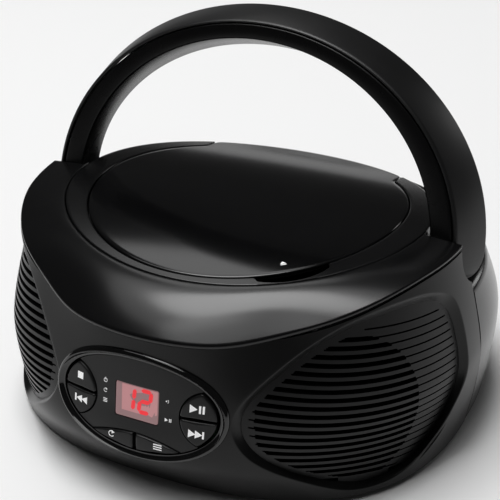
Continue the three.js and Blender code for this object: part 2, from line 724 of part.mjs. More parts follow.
function mechChassis() {
  const sheet = box(-30, 78, -32, 32, 65, 66.5);
  const posts = [[12.6, 14.6], [75, 77.5]].map(([x0, x1]) => box(x0, x1, -11, 11, 66, 76));
  const rails = [-1, 1].map((side) =>
    rod('x', SLED.rail + GAP, 10, 90, [0, side * SLED.railY, SLED.railZ], 16));
  return cut(unite(sheet, ...posts), rod('z', 12.5, 60, 70, [0, 0, 0]), ...rails);
}

function laserSled() {
  const { x0, x1, half, bottom, top, railY, railZ, rail } = SLED;
  const block = box(x0, x1, -half, half, bottom, top);
  const bores = [-1, 1].map((side) => rod('x', rail + GAP, 0, 90, [0, side * railY, railZ], 16));
  return cut(block, ...bores);
}

const laserLens = () => turned([[0, 77.7], [4.6, 77.7], [4.6, 78.6], [3, 79.2], [0, 79.8]], 24)
  .translate([LENS_X, 0, 0]);

const sledRail = (side) =>
  rod('x', SLED.rail, 13.2, 77, [0, side * SLED.railY, SLED.railZ], 12);

// ---------------------------------------------------------------- handle
// one swept strip of the handle; corners are { a, b, y } edges in the handle's own plane
function arch(corners) {
  const stations = [];
  const steps = 28;
  const widest = OUTER_BACK.a;
  const slope = (corner, y) => corner.lean * (y - corner.y) + corner.a;
  const end = (sign) => [80, 60, 40, 20].map((beta) => {
    const [s, c] = [Math.sin(beta * DEG), Math.cos(beta * DEG)];
    return corners.map((corner) =>
      new THREE.Vector3(sign * slope(corner, corner.y * c), corner.y * c, -HANDLE_HALF * s));
  });
  stations.push(...end(1));
  for (let i = 0; i <= steps; i += 1) {
    const t = (i / steps) * Math.PI;
    stations.push(corners.map(({ a, b, y }) => new THREE.Vector3(a * Math.cos(t), y, b * Math.sin(t))));
  }
  stations.push(...end(-1).reverse());
  const vertices = stations.flat();
  const n = corners.length;
  const triangles = [];
  for (let i = 0; i < stations.length - 1; i += 1) {
    for (let j = 0; j < n; j += 1) {
      const [a, b] = [i * n + j, i * n + ((j + 1) % n)];
      triangles.push([a, b, b + n], [a, b + n, a + n]);
    }
  }
  const last = (stations.length - 1) * n;
  for (let j = 1; j < n - 1; j += 1) {
    triangles.push([0, j + 1, j], [last, last + j, last + j + 1]);
  }
  return fromGrid(vertices, triangles).transform(handlePose.elements);
}

// a point of the grip's cross-section: k runs from the front edge (0) to the back edge (1)
function gripEdge(front, back, k, inset = 0) {
  const a = front.a + (back.a - front.a) * k - inset;
  const b = front.b + (back.b - front.b) * k - inset;
  const y = HANDLE_HALF * (2 * k - 1);
  return { a, b, y, lean: (back.a - front.a) / (2 * HANDLE_HALF) };
}

function handleCover() {
  return arch([
    gripEdge(OUTER_FRONT, OUTER_BACK, 0),
    gripEdge(OUTER_FRONT, OUTER_BACK, 1),
    gripEdge(OUTER_FRONT, OUTER_BACK, 1, COVER_THICK),
    gripEdge(OUTER_FRONT, OUTER_BACK, 0, COVER_THICK),
  ]);
}

function handleFrame() {
  const inset = COVER_THICK + GAP;
  const body = arch([
    gripEdge(OUTER_FRONT, OUTER_BACK, 0, inset),
    gripEdge(OUTER_FRONT, OUTER_BACK, 1, inset),
    gripEdge(INNER_FRONT, INNER_BACK, 1),
    gripEdge(INNER_FRONT, INNER_BACK, 0),
  ]);
  return cut(body, ...[-1, 1].map((side) => {
    const [from, to] = side > 0 ? [80, 99.5] : [-99.5, -80];
    return rod('x', PIN_RADIUS + GAP, from, to, [0, PIVOT_Y, PIVOT_Z]);
  }));
}

const handlePivot = (side) => {
  const [from, to] = side > 0 ? [82, 99] : [-99, -82];
  const collar = side > 0 ? [82, 85] : [-85, -82];
  return unite(
    rod('x', PIN_RADIUS, from, to, [0, PIVOT_Y, PIVOT_Z]),
    rod('x', PIN_RADIUS + 2.5, collar[0], collar[1], [0, PIVOT_Y, PIVOT_Z]),
  );
};

// ---------------------------------------------------------------- speakers
function grille(outline, side) {
  const panel = patch(outline, [
    { offset: -GRILLE_SINK },
    { offset: -GRILLE_SINK - GRILLE_THICK },
  ], onSide, 2);
  const half = ((SLOT_COUNT - 1) * SLOT_PITCH) / 2;
  const slots = range(-half, half, SLOT_COUNT - 1).map((dz) => {
    const reach = Math.sqrt(GRILLE_ROUND ** 2 - dz * dz);
    const frame = driverFrame(side);
    return fitted(frame, reach, -30, 30, dz - SLOT_WIDTH / 2, dz + SLOT_WIDTH / 2);
  });
  return cut(panel, ...slots);
}

const driverFrame = (side) => new THREE.Matrix4()
  .makeTranslation(...polar(side * DRIVER_ANGLE, frontRadius(DRIVER_ANGLE, DRIVER_Z) - DRIVER_DEPTH, DRIVER_Z).toArray())
  .multiply(new THREE.Matrix4().makeRotationZ(side * DRIVER_ANGLE * DEG));

// turned piece whose axis points into the cabinet from the driver's front plane
function driverPiece(profile, side, segments = 24) {
  const points = profile.map(([r, y]) => new THREE.Vector2(r, y));
  return solid(new THREE.LatheGeometry(points, segments), driverFrame(side));
}

const driverBasket = (side) => driverPiece([[30.5, 0], [DRIVER_RADIUS, 0], [DRIVER_RADIUS, 2.4], [32, 3],
  [20, 16], [20, 18], [10, 18], [10, 16], [17.5, 15.4], [30.5, 2.4], [30.5, 0]], side);
const driverCone = (side) => driverPiece([[0, 9], [6, 8], [8, 10.2], [26, 1.4], [27.6, 0.4], [30, 1],
  [30, 2], [27.4, 2], [9, 12.6], [0, 12.6]], side);
const driverMagnet = (side) => driverPiece([[0, 18.4], [24, 18.4], [25, 19.4], [25, 28], [24, 29],
  [0, 29]], side, 20);

// ---------------------------------------------------------------- control panel
function bezel() {
  const outer = ellipse(BEZEL, 36);
  const inner = ellipse({ x: PLATE.x + GAP, z: PLATE.z + GAP }, 36);
  const ring = patch(outer, [
    { offset: BEZEL_PROUD, grow: 0.955 },
    { offset: BEZEL_PROUD * 0.7, grow: 0.985 },
    { offset: 0.3, grow: 1 },
    { offset: 0.25, grow: 0.975 },
    { offset: -3.4, grow: 0.975 },
  ], onFront);
  return cut(ring, patch(inner, [{ offset: 8 }, { offset: -10 }], onFront));
}

const arcPoints = (cx, cz, r, from, to, steps) =>
  range(from, to, steps).map((t) => [cx + r * Math.cos(t * DEG), cz + r * Math.sin(t * DEG)]);

// outline inside the side button circle and the plate ellipse, above or below the split
function sideButton(sx, up) {
  const { x, z, r } = BUTTON_ARC;
  const points = [];
  const split = 0.5;
  const inside = ([px, pz]) => (px / PLATE.x) ** 2 + ((pz - PANEL_Z) / PLATE.z) ** 2 < 0.985;
  for (const p of arcPoints(x, z, r, up ? 178 : 182, up ? 20 : 340, 16)) {
    if (inside(p) && (up ? p[1] > z + split : p[1] < z - split)) points.push(p);
  }
  const last = points[points.length - 1];
  const start = Math.atan2((last[1] - PANEL_Z) / PLATE.z, last[0] / PLATE.x) / DEG;
  const end = Math.asin((z + (up ? split : -split) - PANEL_Z) / PLATE.z) / DEG;
  for (const t of range(start, end, 4).slice(1)) {
    points.push([PLATE.x * 0.988 * Math.cos(t * DEG), PANEL_Z + PLATE.z * 0.988 * Math.sin(t * DEG)]);
  }
  points.push([x - r + 0.6, z + (up ? split : -split)]);
  return points.map(([px, pz]) => [sx * px, pz]);
}

// outline under the shallow arc at the bottom of the plate, left or right of the middle
function programButton(sx) {
  const { end, endZ, topZ, meet } = PROGRAM_ARC;
  const arc = range(0.5, meet - 0.5, 4).map((px) => [px, topZ - (topZ - endZ) * (px / end) ** 2]);
  const edge = range(meet, 0.5, 5).map((px) =>
    [px, PANEL_Z - PLATE.z * 0.985 * Math.sqrt(1 - (px / PLATE.x) ** 2)]);
  return [...arc, ...edge].map(([px, pz]) => [sx * px, pz]);
}

const BUTTONS = {
  button_stop: sideButton(-1, true),
  button_previous: sideButton(-1, false),
  button_play_pause: sideButton(1, true),
  button_next: sideButton(1, false),
  button_repeat: programButton(-1),
  button_program: programButton(1),
};

const windowOutline = [[-WINDOW.x, WINDOW.bottom], [0, WINDOW.bottom], [WINDOW.x, WINDOW.bottom],
  [WINDOW.x, PANEL_Z], [WINDOW.x, WINDOW.top], [0, WINDOW.top], [-WINDOW.x, WINDOW.top], [-WINDOW.x, PANEL_Z]];

const button = (outline) => patch(outline, [
  { offset: BUTTON_PROUD, grow: 0.94 },
  { offset: BUTTON_PROUD - 0.4, grow: 0.975 },
  { offset: -BUTTON_DEPTH, grow: 0.975 },
], onFront, 2);

function panelPlate() {
  const disc = patch(ellipse(PLATE, 36), [{ offset: -PLATE_SINK }, { offset: -PLATE_SINK - PLATE_THICK }], onFront, 2);
  const through = [{ offset: 4 }, { offset: -8 }];
  const sides = [-1, 1].map((side) => {
    const circle = arcPoints(side * BUTTON_ARC.x, BUTTON_ARC.z, BUTTON_ARC.r + 0.4, 0, 360, 20).slice(0, 20);
    return patch(circle, through, onFront, 2);
  });
  const { end, endZ, topZ } = PROGRAM_ARC;
  const arc = range(-end - 3, end + 3, 8).map((px) => [px, topZ + 0.4 - (topZ - endZ) * (px / end) ** 2]);
  const below = [[end + 3, PANEL_Z - PLATE.z - 4], [0, PANEL_Z - PLATE.z - 4], [-end - 3, PANEL_Z - PLATE.z - 4]];
  const bottom = patch([...arc, ...below], through, onFront, 2);
  const opening = patch(windowOutline, [{ offset: 4, grow: 1.03 }, { offset: -8, grow: 1.03 }], onFront, 1);
  return cut(disc, ...sides, bottom, opening);
}

const displayWindow = () =>
  patch(windowOutline, [{ offset: -PLATE_SINK - 0.1 }, { offset: -PLATE_SINK - 1.4 }], onFront, 2);

// ---------------------------------------------------------------- electronics
const displayModule = () => box(-11.5, 11.5, -104.4, -97.6, 40, 59);
const keyBoard = () => box(-32, 32, -97.2, -95.6, 31, 63);
const mainBoard = () => box(-52, 40, -58, 44, 10, 11.6);
function transformer() {
  const core = box(-92, -58, 44, 66, 6.4, 36);
  const winding = box(-86, -64, 38, 72, 11, 31);
  return unite(core, winding);
}

function powerInlet() {
  const { frame, half, height, depth } = INLET;
  const body = fitted(frame, half, 1.2, depth, -height, height);
  return cut(body, fitted(frame, half - 3, -6, depth - 8, -height + 3, height - 3));
}

const volumeKnob = () => unite(
  fittedRod(KNOB.frame, KNOB.radius, -KNOB.proud, 1, 28),
  fittedRod(KNOB.frame, 3, 0.5, 12, 14),
);
const functionSwitch = () => unite(
  fitted(SWITCH.frame, SWITCH.nub, -1.6, 1, -SWITCH.height + GAP, SWITCH.height - GAP, -3),
  fitted(SWITCH.frame, 2, 0.5, 8, -1.5, 1.5, -3),
);
const auxSocket = () => cut(
  fittedRod(AUX.frame, AUX.radius, 0.2, 14),
  fittedRod(AUX.frame, 1.8, -4, 10),
);
const antennaGrommet = () => cut(
  fittedRod(GROMMET.frame, GROMMET.radius, -0.8, 6),
  fittedRod(GROMMET.frame, 1, -4, 20, 12),
);

// ---------------------------------------------------------------- assembly
const cabinet = set([0, 0, BASE_Z]);
const lid = set([0, HINGE_Y, HINGE_Z]);
const drive = set([0, 0, FLOOR_Z]);
const handle = set([0, PIVOT_Y, PIVOT_Z], [-HANDLE_LEAN * DEG, 0, 0]);
const panel = set([0, -FRONT_SECTIONS[1].b, PANEL_Z]);
const power = set([0, 40, BASE_Z]);
const controls = set([KNOB.frame.elements[12], KNOB.frame.elements[13], KNOB.frame.elements[14]]);

add(cabinet, 'front_shell', frontShell(), LOOKS.satin);
add(cabinet, 'rear_shell', rearShell(), LOOKS.gloss);
add(cabinet, 'top_shell', topShell(), LOOKS.gloss);
add(cabinet, 'base_plate', basePlate(), LOOKS.satin);
for (const [sx, sy, corner] of CORNERS) {
  add(cabinet, `foot_${corner}`, foot(sx, sy), LOOKS.rubber);
  add(cabinet, `base_screw_${corner}`, screw(sx, sy), LOOKS.metal);
}

add(lid, 'lid_ring', lidRing(), LOOKS.gloss);
add(lid, 'cd_deck', cdDeck(), LOOKS.dark);
add(lid, 'cd_lid', cdLid(), LOOKS.gloss);
add(lid, 'lid_hinge_pin_right', hingePin(1), LOOKS.metal);
add(lid, 'lid_hinge_pin_left', hingePin(-1), LOOKS.metal);
add(lid, 'lid_catch', lidCatch(), LOOKS.dark);

add(drive, 'spindle_hub', spindleHub(), LOOKS.dark);
add(drive, 'spindle_motor', spindleMotor(), LOOKS.metal);
add(drive, 'mech_chassis', mechChassis(), LOOKS.dark);
add(drive, 'laser_sled', laserSled(), LOOKS.dark);
add(drive, 'laser_lens', laserLens(), LOOKS.lens);
add(drive, 'sled_rail_front', sledRail(-1), LOOKS.metal);
add(drive, 'sled_rail_rear', sledRail(1), LOOKS.metal);

add(handle, 'handle_frame', handleFrame(), LOOKS.satin);
add(handle, 'handle_cover', handleCover(), LOOKS.gloss);
add(handle, 'handle_pivot_right', handlePivot(1), LOOKS.metal);
add(handle, 'handle_pivot_left', handlePivot(-1), LOOKS.metal);

for (const [name, side] of [['right', 1], ['left', -1]]) {
  const speaker = set(polar(DRIVER_ANGLE * side, 108, DRIVER_Z).toArray(), [0, 0, DRIVER_ANGLE * side * DEG]);
  add(speaker, `speaker_grille_${name}`, grille(speakerOutline[name], side), LOOKS.grille);
  add(speaker, `speaker_basket_${name}`, driverBasket(side), LOOKS.metal);
  add(speaker, `speaker_cone_${name}`, driverCone(side), LOOKS.paper);
  add(speaker, `speaker_magnet_${name}`, driverMagnet(side), LOOKS.dark);
}

add(panel, 'panel_bezel', bezel(), LOOKS.gloss);
add(panel, 'panel_plate', panelPlate(), LOOKS.satin);
add(panel, 'display_window', displayWindow(), LOOKS.window);
add(panel, 'display_module', displayModule(), LOOKS.dark);
for (const [name, outline] of Object.entries(BUTTONS)) {
  add(panel, name, button(outline), LOOKS.satin);
}

add(panel, 'key_board', keyBoard(), LOOKS.board);
add(power, 'main_board', mainBoard(), LOOKS.board);
add(power, 'transformer', transformer(), LOOKS.metal);
add(power, 'battery_tray', batteryTray(), LOOKS.dark);
add(power, 'battery_door', batteryDoor(), LOOKS.satin);
add(power, 'power_inlet', powerInlet(), LOOKS.dark);
add(controls, 'volume_knob', volumeKnob(), LOOKS.satin);
add(controls, 'function_switch', functionSwitch(), LOOKS.satin);
add(controls, 'aux_socket', auxSocket(), LOOKS.dark);
add(controls, 'antenna_grommet', antennaGrommet(), LOOKS.rubber);

export default boombox;
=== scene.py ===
"""Looks of the portable CD boombox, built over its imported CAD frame.

Lengths are in millimetres until a mesh is made. The front faces -Y, and angles count from it.
"""
import math

import bmesh
import bpy
import numpy as np
from mathutils import Matrix, Vector


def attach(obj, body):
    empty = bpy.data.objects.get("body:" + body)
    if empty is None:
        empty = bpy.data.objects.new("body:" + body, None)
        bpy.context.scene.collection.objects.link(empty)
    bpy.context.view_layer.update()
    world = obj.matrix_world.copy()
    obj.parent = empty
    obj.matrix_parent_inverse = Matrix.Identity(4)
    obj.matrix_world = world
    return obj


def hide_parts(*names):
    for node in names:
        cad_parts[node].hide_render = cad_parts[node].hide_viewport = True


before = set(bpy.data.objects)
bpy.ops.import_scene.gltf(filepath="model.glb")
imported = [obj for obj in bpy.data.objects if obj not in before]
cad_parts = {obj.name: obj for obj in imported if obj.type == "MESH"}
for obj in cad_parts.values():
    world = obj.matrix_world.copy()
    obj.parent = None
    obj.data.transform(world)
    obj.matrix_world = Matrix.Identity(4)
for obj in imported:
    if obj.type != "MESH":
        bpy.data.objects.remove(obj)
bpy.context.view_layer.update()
MM = 0.001

# ---------------------------------------------------------------- dimensions
# These follow the CAD. Only the finger notch is narrower than its cut-out there.
BASE_Z = 3
FRONT_SECTIONS = ((3, 112, 98.5, 2.5), (25, 116, 112.7, 2.15), (48, 117.3, 109.6, 2.25))
REAR_SECTIONS = ((3, 112, 106, 2.5), (25, 116, 114.4, 2.3), (48, 117.3, 113.8, 2.3))
SHELF_Z = 77.2
SHELF_SECTION = (112, 97, 2.2)
CREASE_RADIUS = 107.4
CREASE_WAIST = (3, 34, 13)    # depth, angle and spread of the dip beside the speakers
CREASE_FRONT_Z = 82.8
CREASE_RISE = 15.8
CREASE_STEP = 3           # how far the visor's edge stands over the front
CROWN_Z = 100.3
CROWN_Y = -25
CROWN_K = 0.00122
LIP = 2.4
GAP = 0.35
LID_RADIUS = 75.2
LID_SKIN = 2.4
TONGUE_HALF = 51.7
RING_A = 88.5
RING_FRONT_B = 79.5
RING_REAR_B = 81.2
RING_END = 140.6
NOTCH_ANGLE = 41
NOTCH_HALF = 13
HINGE = (71, 82.6)
PIVOT = (4.9, 88.9)
HANDLE_LEAN = math.radians(14.2)
HANDLE_HALF = 10.4
HANDLE_OUTER = (104.2, 90.5)  # half width and height of the front edges of the arch
HANDLE_INNER = (91.6, 82.3)
OUTER_FLARE = (8, 6.7)    # how much larger the rear edges are
INNER_FLARE = (2.8, -4.6)
PANEL_Z = 48.7
BEZEL = (42.6, 25)
PLATE = (38.3, 20.6)
WINDOW_BOX = (10.6, 41.8, 57.4)
PLATE_EDGE = 0.985        # the keys end a little inside the plate's own edge
KEY_CIRCLE = (33.2, 48.2, 12.6)
KEY_SPLIT = 0.45
LOWER_KEYS = (36, 5, 23.5)    # top of the lower keys, and how far it drops at a distance from the middle

# These belong to the fine surface alone.
SHELL_WALL = 2.2
VISOR_WALL = 1.2
POCKET_X = 89.6           # inner face of the handle's pocket
HANDLE_CLEAR = 0.8        # space round the handle's leg
SLOT_PITCH = 3.65
SLOT_DROP = 0.24          # fall of a slot for each degree round the cabinet
GRILLE_SINK = -3.75
DRIVER = (47, 44, 38.3)   # angle and height of the driver, and the radius of the open slots
SIDE_SCALE = 1.95         # millimetres along the cabinet for each degree
FLAT_HEIGHT = 84          # height given to the wall when it is laid out flat
CAMERA_ROLL = -1.4


# ---------------------------------------------------------------- surfaces
def smooth(a, b, v):
    t = np.clip((v - a) / (b - a), 0, 1)
    return t * t * (3 - 2 * t)


def section(a, b, n, phi):
    """Distance from the axis to a superellipse, at an angle from the front."""
    s, c = np.abs(np.sin(np.radians(phi))), np.abs(np.cos(np.radians(phi)))
    return ((s / a) ** n + (c / b) ** n) ** (-1 / n)


def polar(phi, r, z):
    phi, r, z = np.broadcast_arrays(np.radians(phi), r, z)
    return np.stack([r * np.sin(phi), -r * np.cos(phi), z], -1)


def through(zs, rs, z):
    """Smooth curve through the knots (zs, rs), read at z."""
    n = len(zs)
    slope = [
        (rs[min(k + 1, n - 1)] - rs[max(k - 1, 0)]) / (zs[min(k + 1, n - 1)] - zs[max(k - 1, 0)])
        for k in range(n)
    ]
    out = None
    for i in range(n - 1):
        span = zs[i + 1] - zs[i]
        t = (z - zs[i]) / span
        value = (
            (2 * t**3 - 3 * t**2 + 1) * rs[i]
            + (t**3 - 2 * t**2 + t) * span * slope[i]
            + (3 * t**2 - 2 * t**3) * rs[i + 1]
            + (t**3 - t**2) * span * slope[i + 1]
        )
        out = value if out is None else np.where(z > zs[i], value, out)
    return out


def crease_radius(phi):
    depth, angle, spread = CREASE_WAIST
    return CREASE_RADIUS - depth * np.exp(-(((np.abs(phi) - angle) / spread) ** 2))


def crease_z(phi):
    return CREASE_FRONT_Z + CREASE_RISE * smooth(16, 74, np.abs(phi))


def crown_z(y):
    return CROWN_Z - CROWN_K * (y - CROWN_Y) ** 2


def shell_top(phi):
    return crease_z(phi) - LIP - GAP


def visor_overhang(phi):
    return CREASE_STEP * (1 - smooth(18, 46, np.abs(phi)))


def front_radius(phi, z):
    zs = [s[0] + 0 * phi for s in FRONT_SECTIONS] + [shell_top(phi)]
    rs = [section(*s[1:], phi) for s in FRONT_SECTIONS]
    rs.append(crease_radius(phi) - visor_overhang(phi))
    return through(zs, rs, z)


def rear_radius(phi, z):
    zs = [s[0] + 0 * phi for s in REAR_SECTIONS] + [SHELF_Z + 0 * phi]
    rs = [section(*s[1:], phi) for s in REAR_SECTIONS] + [section(*SHELF_SECTION, phi)]
    return through(zs, rs, z)


def ring_radius(phi, grow=0.0):
    front = section(RING_A + grow, RING_FRONT_B + grow, 2, phi)
    rear = section(RING_A + grow, RING_REAR_B + grow, 2, phi)
    return np.where(np.cos(np.radians(phi)) > 0, front, rear)


def lid_radius(phi, grow=0.0):
    """Lid outline: a circle with a straight-sided tongue to the rear, its corners eased."""
    full = np.arange(0, 360, 0.5)
    circle = LID_RADIUS + grow
    side = (TONGUE_HALF + grow) / np.maximum(np.abs(np.sin(np.radians(full))), 1e-6)
    reach = np.where(np.cos(np.radians(full)) < 0, np.minimum(side, ring_radius(full)), 0)
    outline = np.maximum(circle, reach)
    weights = np.exp(-((np.arange(-8, 9) / 3.2) ** 2))
    padded = np.concatenate([outline[-8:], outline, outline[:8]])
    eased = np.convolve(padded, weights / weights.sum(), "valid")
    return np.interp(np.mod(phi, 360), np.append(full, 360), np.append(eased, eased[0]))


def on_side(phi, z, offset):
    return polar(phi, front_radius(phi, z) + offset, z)


def on_front(x, z, offset):
    x, z, offset = (np.asarray(v, float) for v in np.broadcast_arrays(x, z, offset))
    phi = np.zeros_like(x)
    for _ in range(8):
        phi = np.degrees(np.arcsin(x / front_radius(phi, z)))
    lean = np.radians(phi * 0.8)
    out = np.stack([np.sin(lean), -np.cos(lean), 0 * lean], -1)
    return polar(phi, front_radius(phi, z), z) + out * offset[..., None]


def new_object(name, vertices, faces, material, body, replaces=(), sharp=35):
    """Makes a piece from points in millimetres. Edges that bend by more than sharp degrees stay crisp."""
    mesh = bpy.data.meshes.new(name)
    mesh.from_pydata([tuple(v) for v in np.asarray(vertices) * MM], [], [tuple(f) for f in faces])
    piece = bpy.data.objects.new(name, mesh)
    bpy.context.scene.collection.objects.link(piece)
    tidy_normals(piece, sharp)
    looks = material if isinstance(material, (list, tuple)) else [material]
    for each in looks:
        mesh.materials.append(each)
    if body:
        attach(piece, body)
    if replaces:
        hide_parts(*replaces)
    return piece


def tidy_normals(piece, sharp=35, recalc=True):
    bm = bmesh.new()
    bm.from_mesh(piece.data)
    bmesh.ops.remove_doubles(bm, verts=bm.verts, dist=2e-6)
    if recalc:
        bmesh.ops.recalc_face_normals(bm, faces=bm.faces)
    for face in bm.faces:
        face.smooth = True
    for edge in bm.edges:
        edge.smooth = edge.calc_face_angle(0) < math.radians(sharp)
    bm.to_mesh(piece.data)
    bm.free()


def grid_faces(rows, cols, wrap=False, start=0):
    faces = []
    for i in range(rows - 1):
        for j in range(cols if wrap else cols - 1):
            k = (j + 1) % cols
            here, above = start + i * cols, start + (i + 1) * cols
            faces.append((here + j, here + k, above + k, above + j))
    return faces


def grid(name, points, material, body, wrap=False, caps=False, **keep):
    """Sheet through rows of points; caps closes the first and last row."""
    rows, cols = points.shape[:2]
    faces = grid_faces(rows, cols, wrap)
    if caps:
        faces.append(tuple(range(cols))[::-1])
        faces.append(tuple((rows - 1) * cols + j for j in range(cols)))
    return new_object(name, points.reshape(-1, 3), faces, material, body, **keep)


def apply_modifiers(piece):
    graph = bpy.context.evaluated_depsgraph_get()
    mesh = bpy.data.meshes.new_from_object(piece.evaluated_get(graph))
    piece.modifiers.clear()
    old = piece.data
    piece.data = mesh
    bpy.data.meshes.remove(old)


def thicken(piece, thickness):
    wall = piece.modifiers.new("wall", "SOLIDIFY")
    wall.thickness = thickness * MM
    wall.offset = -1
    apply_modifiers(piece)


def cut(piece, *cutters, sharp=35):
    for cutter in cutters:
        saw = piece.modifiers.new("cut", "BOOLEAN")
        saw.solver = "EXACT"
        saw.object = cutter
    bpy.context.view_layer.update()
    apply_modifiers(piece)
    for cutter in cutters:
        bpy.data.objects.remove(cutter)
    tidy_normals(piece, sharp, recalc=False)


def spline(points, count):
    """Closed Catmull-Rom curve through the points, read at even steps along its length."""
    p = np.array(points, float)
    n = len(p)
    dense = []
    for i in range(n):
        a, b, c, d = (p[(i + k) % n] for k in (-1, 0, 1, 2))
        for t in np.arange(0, 1, 1 / 24):
            bend = (2 * a - 5 * b + 4 * c - d) * t**2
            twist = (3 * b - a - 3 * c + d) * t**3
            dense.append(0.5 * (2 * b + (c - a) * t + bend + twist))
    dense.append(p[0])
    dense = np.array(dense)
    length = np.concatenate([[0], np.cumsum(np.linalg.norm(np.diff(dense, axis=0), axis=1))])
    at = np.linspace(0, length[-1], count + 1)[:-1]
    return np.stack([np.interp(at, length, dense[:, k]) for k in range(p.shape[1])], -1)


def patch(name, outline, steps, place, material, body, rings=8, **keep):
    """Raised or sunk piece inside a closed outline. Steps are (offset, inset) from the middle outwards."""
    outline = np.asarray(outline, float)
    middle = outline.mean(0)
    span = np.linalg.norm((outline - middle) * [place.scale, 1], axis=1)
    rows = []
    for k in range(1, rings):
        rows.append((steps[0][0], k / rings, steps[0][1]))
    for offset, inset in steps:
        rows.append((offset, 1, inset))
    points = []
    for offset, scale, inset in rows:
        grown = middle + (outline - middle) * (scale * (1 - inset / span))[:, None]
        points.append(place(grown[:, 0], grown[:, 1], offset))
    count = len(outline)
    vertices = np.concatenate(points)
    faces = grid_faces(len(points), count, wrap=True)
    centre = place(middle[:1], middle[1:], steps[0][0])
    vertices = np.concatenate([vertices, centre])
    faces += [(len(vertices) - 1, j, (j + 1) % count) for j in range(count)]
    return new_object(name, vertices, faces, material, body, **keep)


on_side.scale = SIDE_SCALE
on_front.scale = 1


# ---------------------------------------------------------------- materials
def plastic(name, colour, rough, grain=0.02, grain_size=0.35, mottle=0.25, coat=0.0, specular=0.5):
    """Moulded plastic: a faint mottle in colour and gloss, and a fine grain in the surface."""
    m = bpy.data.materials.new(name)
    m.use_nodes = True
    nodes, links = m.node_tree.nodes, m.node_tree.links
    shader = nodes["Principled BSDF"]
    shader.inputs["Specular IOR Level"].default_value = specular
    shader.inputs["Coat Weight"].default_value = coat
    shader.inputs["Coat Roughness"].default_value = 0.04
    place = nodes.new("ShaderNodeTexCoord")
    broad = nodes.new("ShaderNodeTexNoise")
    broad.inputs["Scale"].default_value = 45
    broad.inputs["Detail"].default_value = 4
    links.new(place.outputs["Object"], broad.inputs["Vector"])
    tint = nodes.new("ShaderNodeMix")
    tint.data_type = "RGBA"
    tint.inputs["A"].default_value = (*[c * (1 - mottle) for c in colour], 1)
    tint.inputs["B"].default_value = (*[c * (1 + mottle) for c in colour], 1)
    links.new(broad.outputs["Fac"], tint.inputs["Factor"])
    links.new(tint.outputs["Result"], shader.inputs["Base Color"])
    gloss = nodes.new("ShaderNodeMapRange")
    gloss.inputs["To Min"].default_value = rough * 0.88
    gloss.inputs["To Max"].default_value = rough * 1.12
    links.new(broad.outputs["Fac"], gloss.inputs["Value"])
    links.new(gloss.outputs["Result"], shader.inputs["Roughness"])
    fine = nodes.new("ShaderNodeTexNoise")
    fine.inputs["Scale"].default_value = 1 / (grain_size * MM)
    fine.inputs["Detail"].default_value = 2
    links.new(place.outputs["Object"], fine.inputs["Vector"])
    bump = nodes.new("ShaderNodeBump")
    bump.inputs["Strength"].default_value = 1
    bump.inputs["Distance"].default_value = grain * MM
    links.new(fine.outputs["Fac"], bump.inputs["Height"])
    links.new(bump.outputs["Normal"], shader.inputs["Normal"])
    return m


def glow(name, colour, strength, base):
    """Plastic with light of its own, a little uneven: lamp light in the red digits, painted light on the
    print and on the display window.
    """
    m = plastic(name, base, 0.35)
    nodes, links = m.node_tree.nodes, m.node_tree.links
    shader = nodes["Principled BSDF"]
    uneven = nodes.new("ShaderNodeMix")
    uneven.data_type = "RGBA"
    uneven.inputs["A"].default_value = (*[c * 0.85 for c in colour], 1)
    uneven.inputs["B"].default_value = (*colour, 1)
    links.new(nodes["Noise Texture"].outputs["Fac"], uneven.inputs["Factor"])
    links.new(uneven.outputs["Result"], shader.inputs["Emission Color"])
    shader.inputs["Emission Strength"].default_value = strength
    return m


def metal(name, colour, rough):
    m = plastic(name, colour, rough, grain=0.01, grain_size=0.6, mottle=0.12)
    m.node_tree.nodes["Principled BSDF"].inputs["Metallic"].default_value = 1
    return m


GLOSS = plastic("gloss_black", (0.003, 0.003, 0.0032), 0.2, grain=0.0012, grain_size=1.6, specular=0.36)
LIDGLOSS = plastic("lid_gloss", (0.0025, 0.0025, 0.0027), 0.12, grain=0.0008, grain_size=2.2, specular=0.36)
SATIN = plastic("satin_black", (0.003, 0.003, 0.0031), 0.3, grain=0.004, grain_size=0.4, specular=0.27)
PLATE_LOOK = plastic("panel_satin", (0.0055, 0.0055, 0.0057), 0.36, grain=0.003, grain_size=0.3,
                     specular=0.3)
GRILLE = plastic("grille_black", (0.004, 0.004, 0.0041), 0.38, grain=0.004, grain_size=0.4, specular=0.3)
# Near-black matte: painted shade for the bottoms of the grille's slots, which are closed underneath.
PAINTED_SHADE = plastic("painted_shade_black", (0.0006, 0.0006, 0.0006), 0.9, specular=0.05)
DARK = plastic("deck_black", (0.003, 0.003, 0.0031), 0.5, grain=0.006, grain_size=0.4, specular=0.3)
RUBBER = plastic("rubber_black", (0.008, 0.008, 0.008), 0.8, grain=0.02, grain_size=0.5, specular=0.3)
STEEL = metal("steel", (0.55, 0.56, 0.57), 0.3)
PAPER = plastic("cone_paper", (0.012, 0.012, 0.012), 0.9, grain=0.05, grain_size=0.8, mottle=0.4)
BOARD = plastic("circuit_green", (0.015, 0.09, 0.03), 0.5, grain=0.03, grain_size=1.5, mottle=0.5)
# Painted glow: the white print shines by itself, though it is no lamp.
PRINT_GLOW = glow("white_print_painted_glow", (0.9, 0.9, 0.9), 0.35, (0.75, 0.75, 0.75))
DIGIT = glow("digit_red", (0.68, 0.018, 0.03), 1.0, (0.3, 0.01, 0.01))
# The display window glows by itself: painted light, because the window is no lamp.
WINDOW_GLOW = glow("display_window", (0.26, 0.15, 0.155), 0.85, (0.06, 0.035, 0.035))
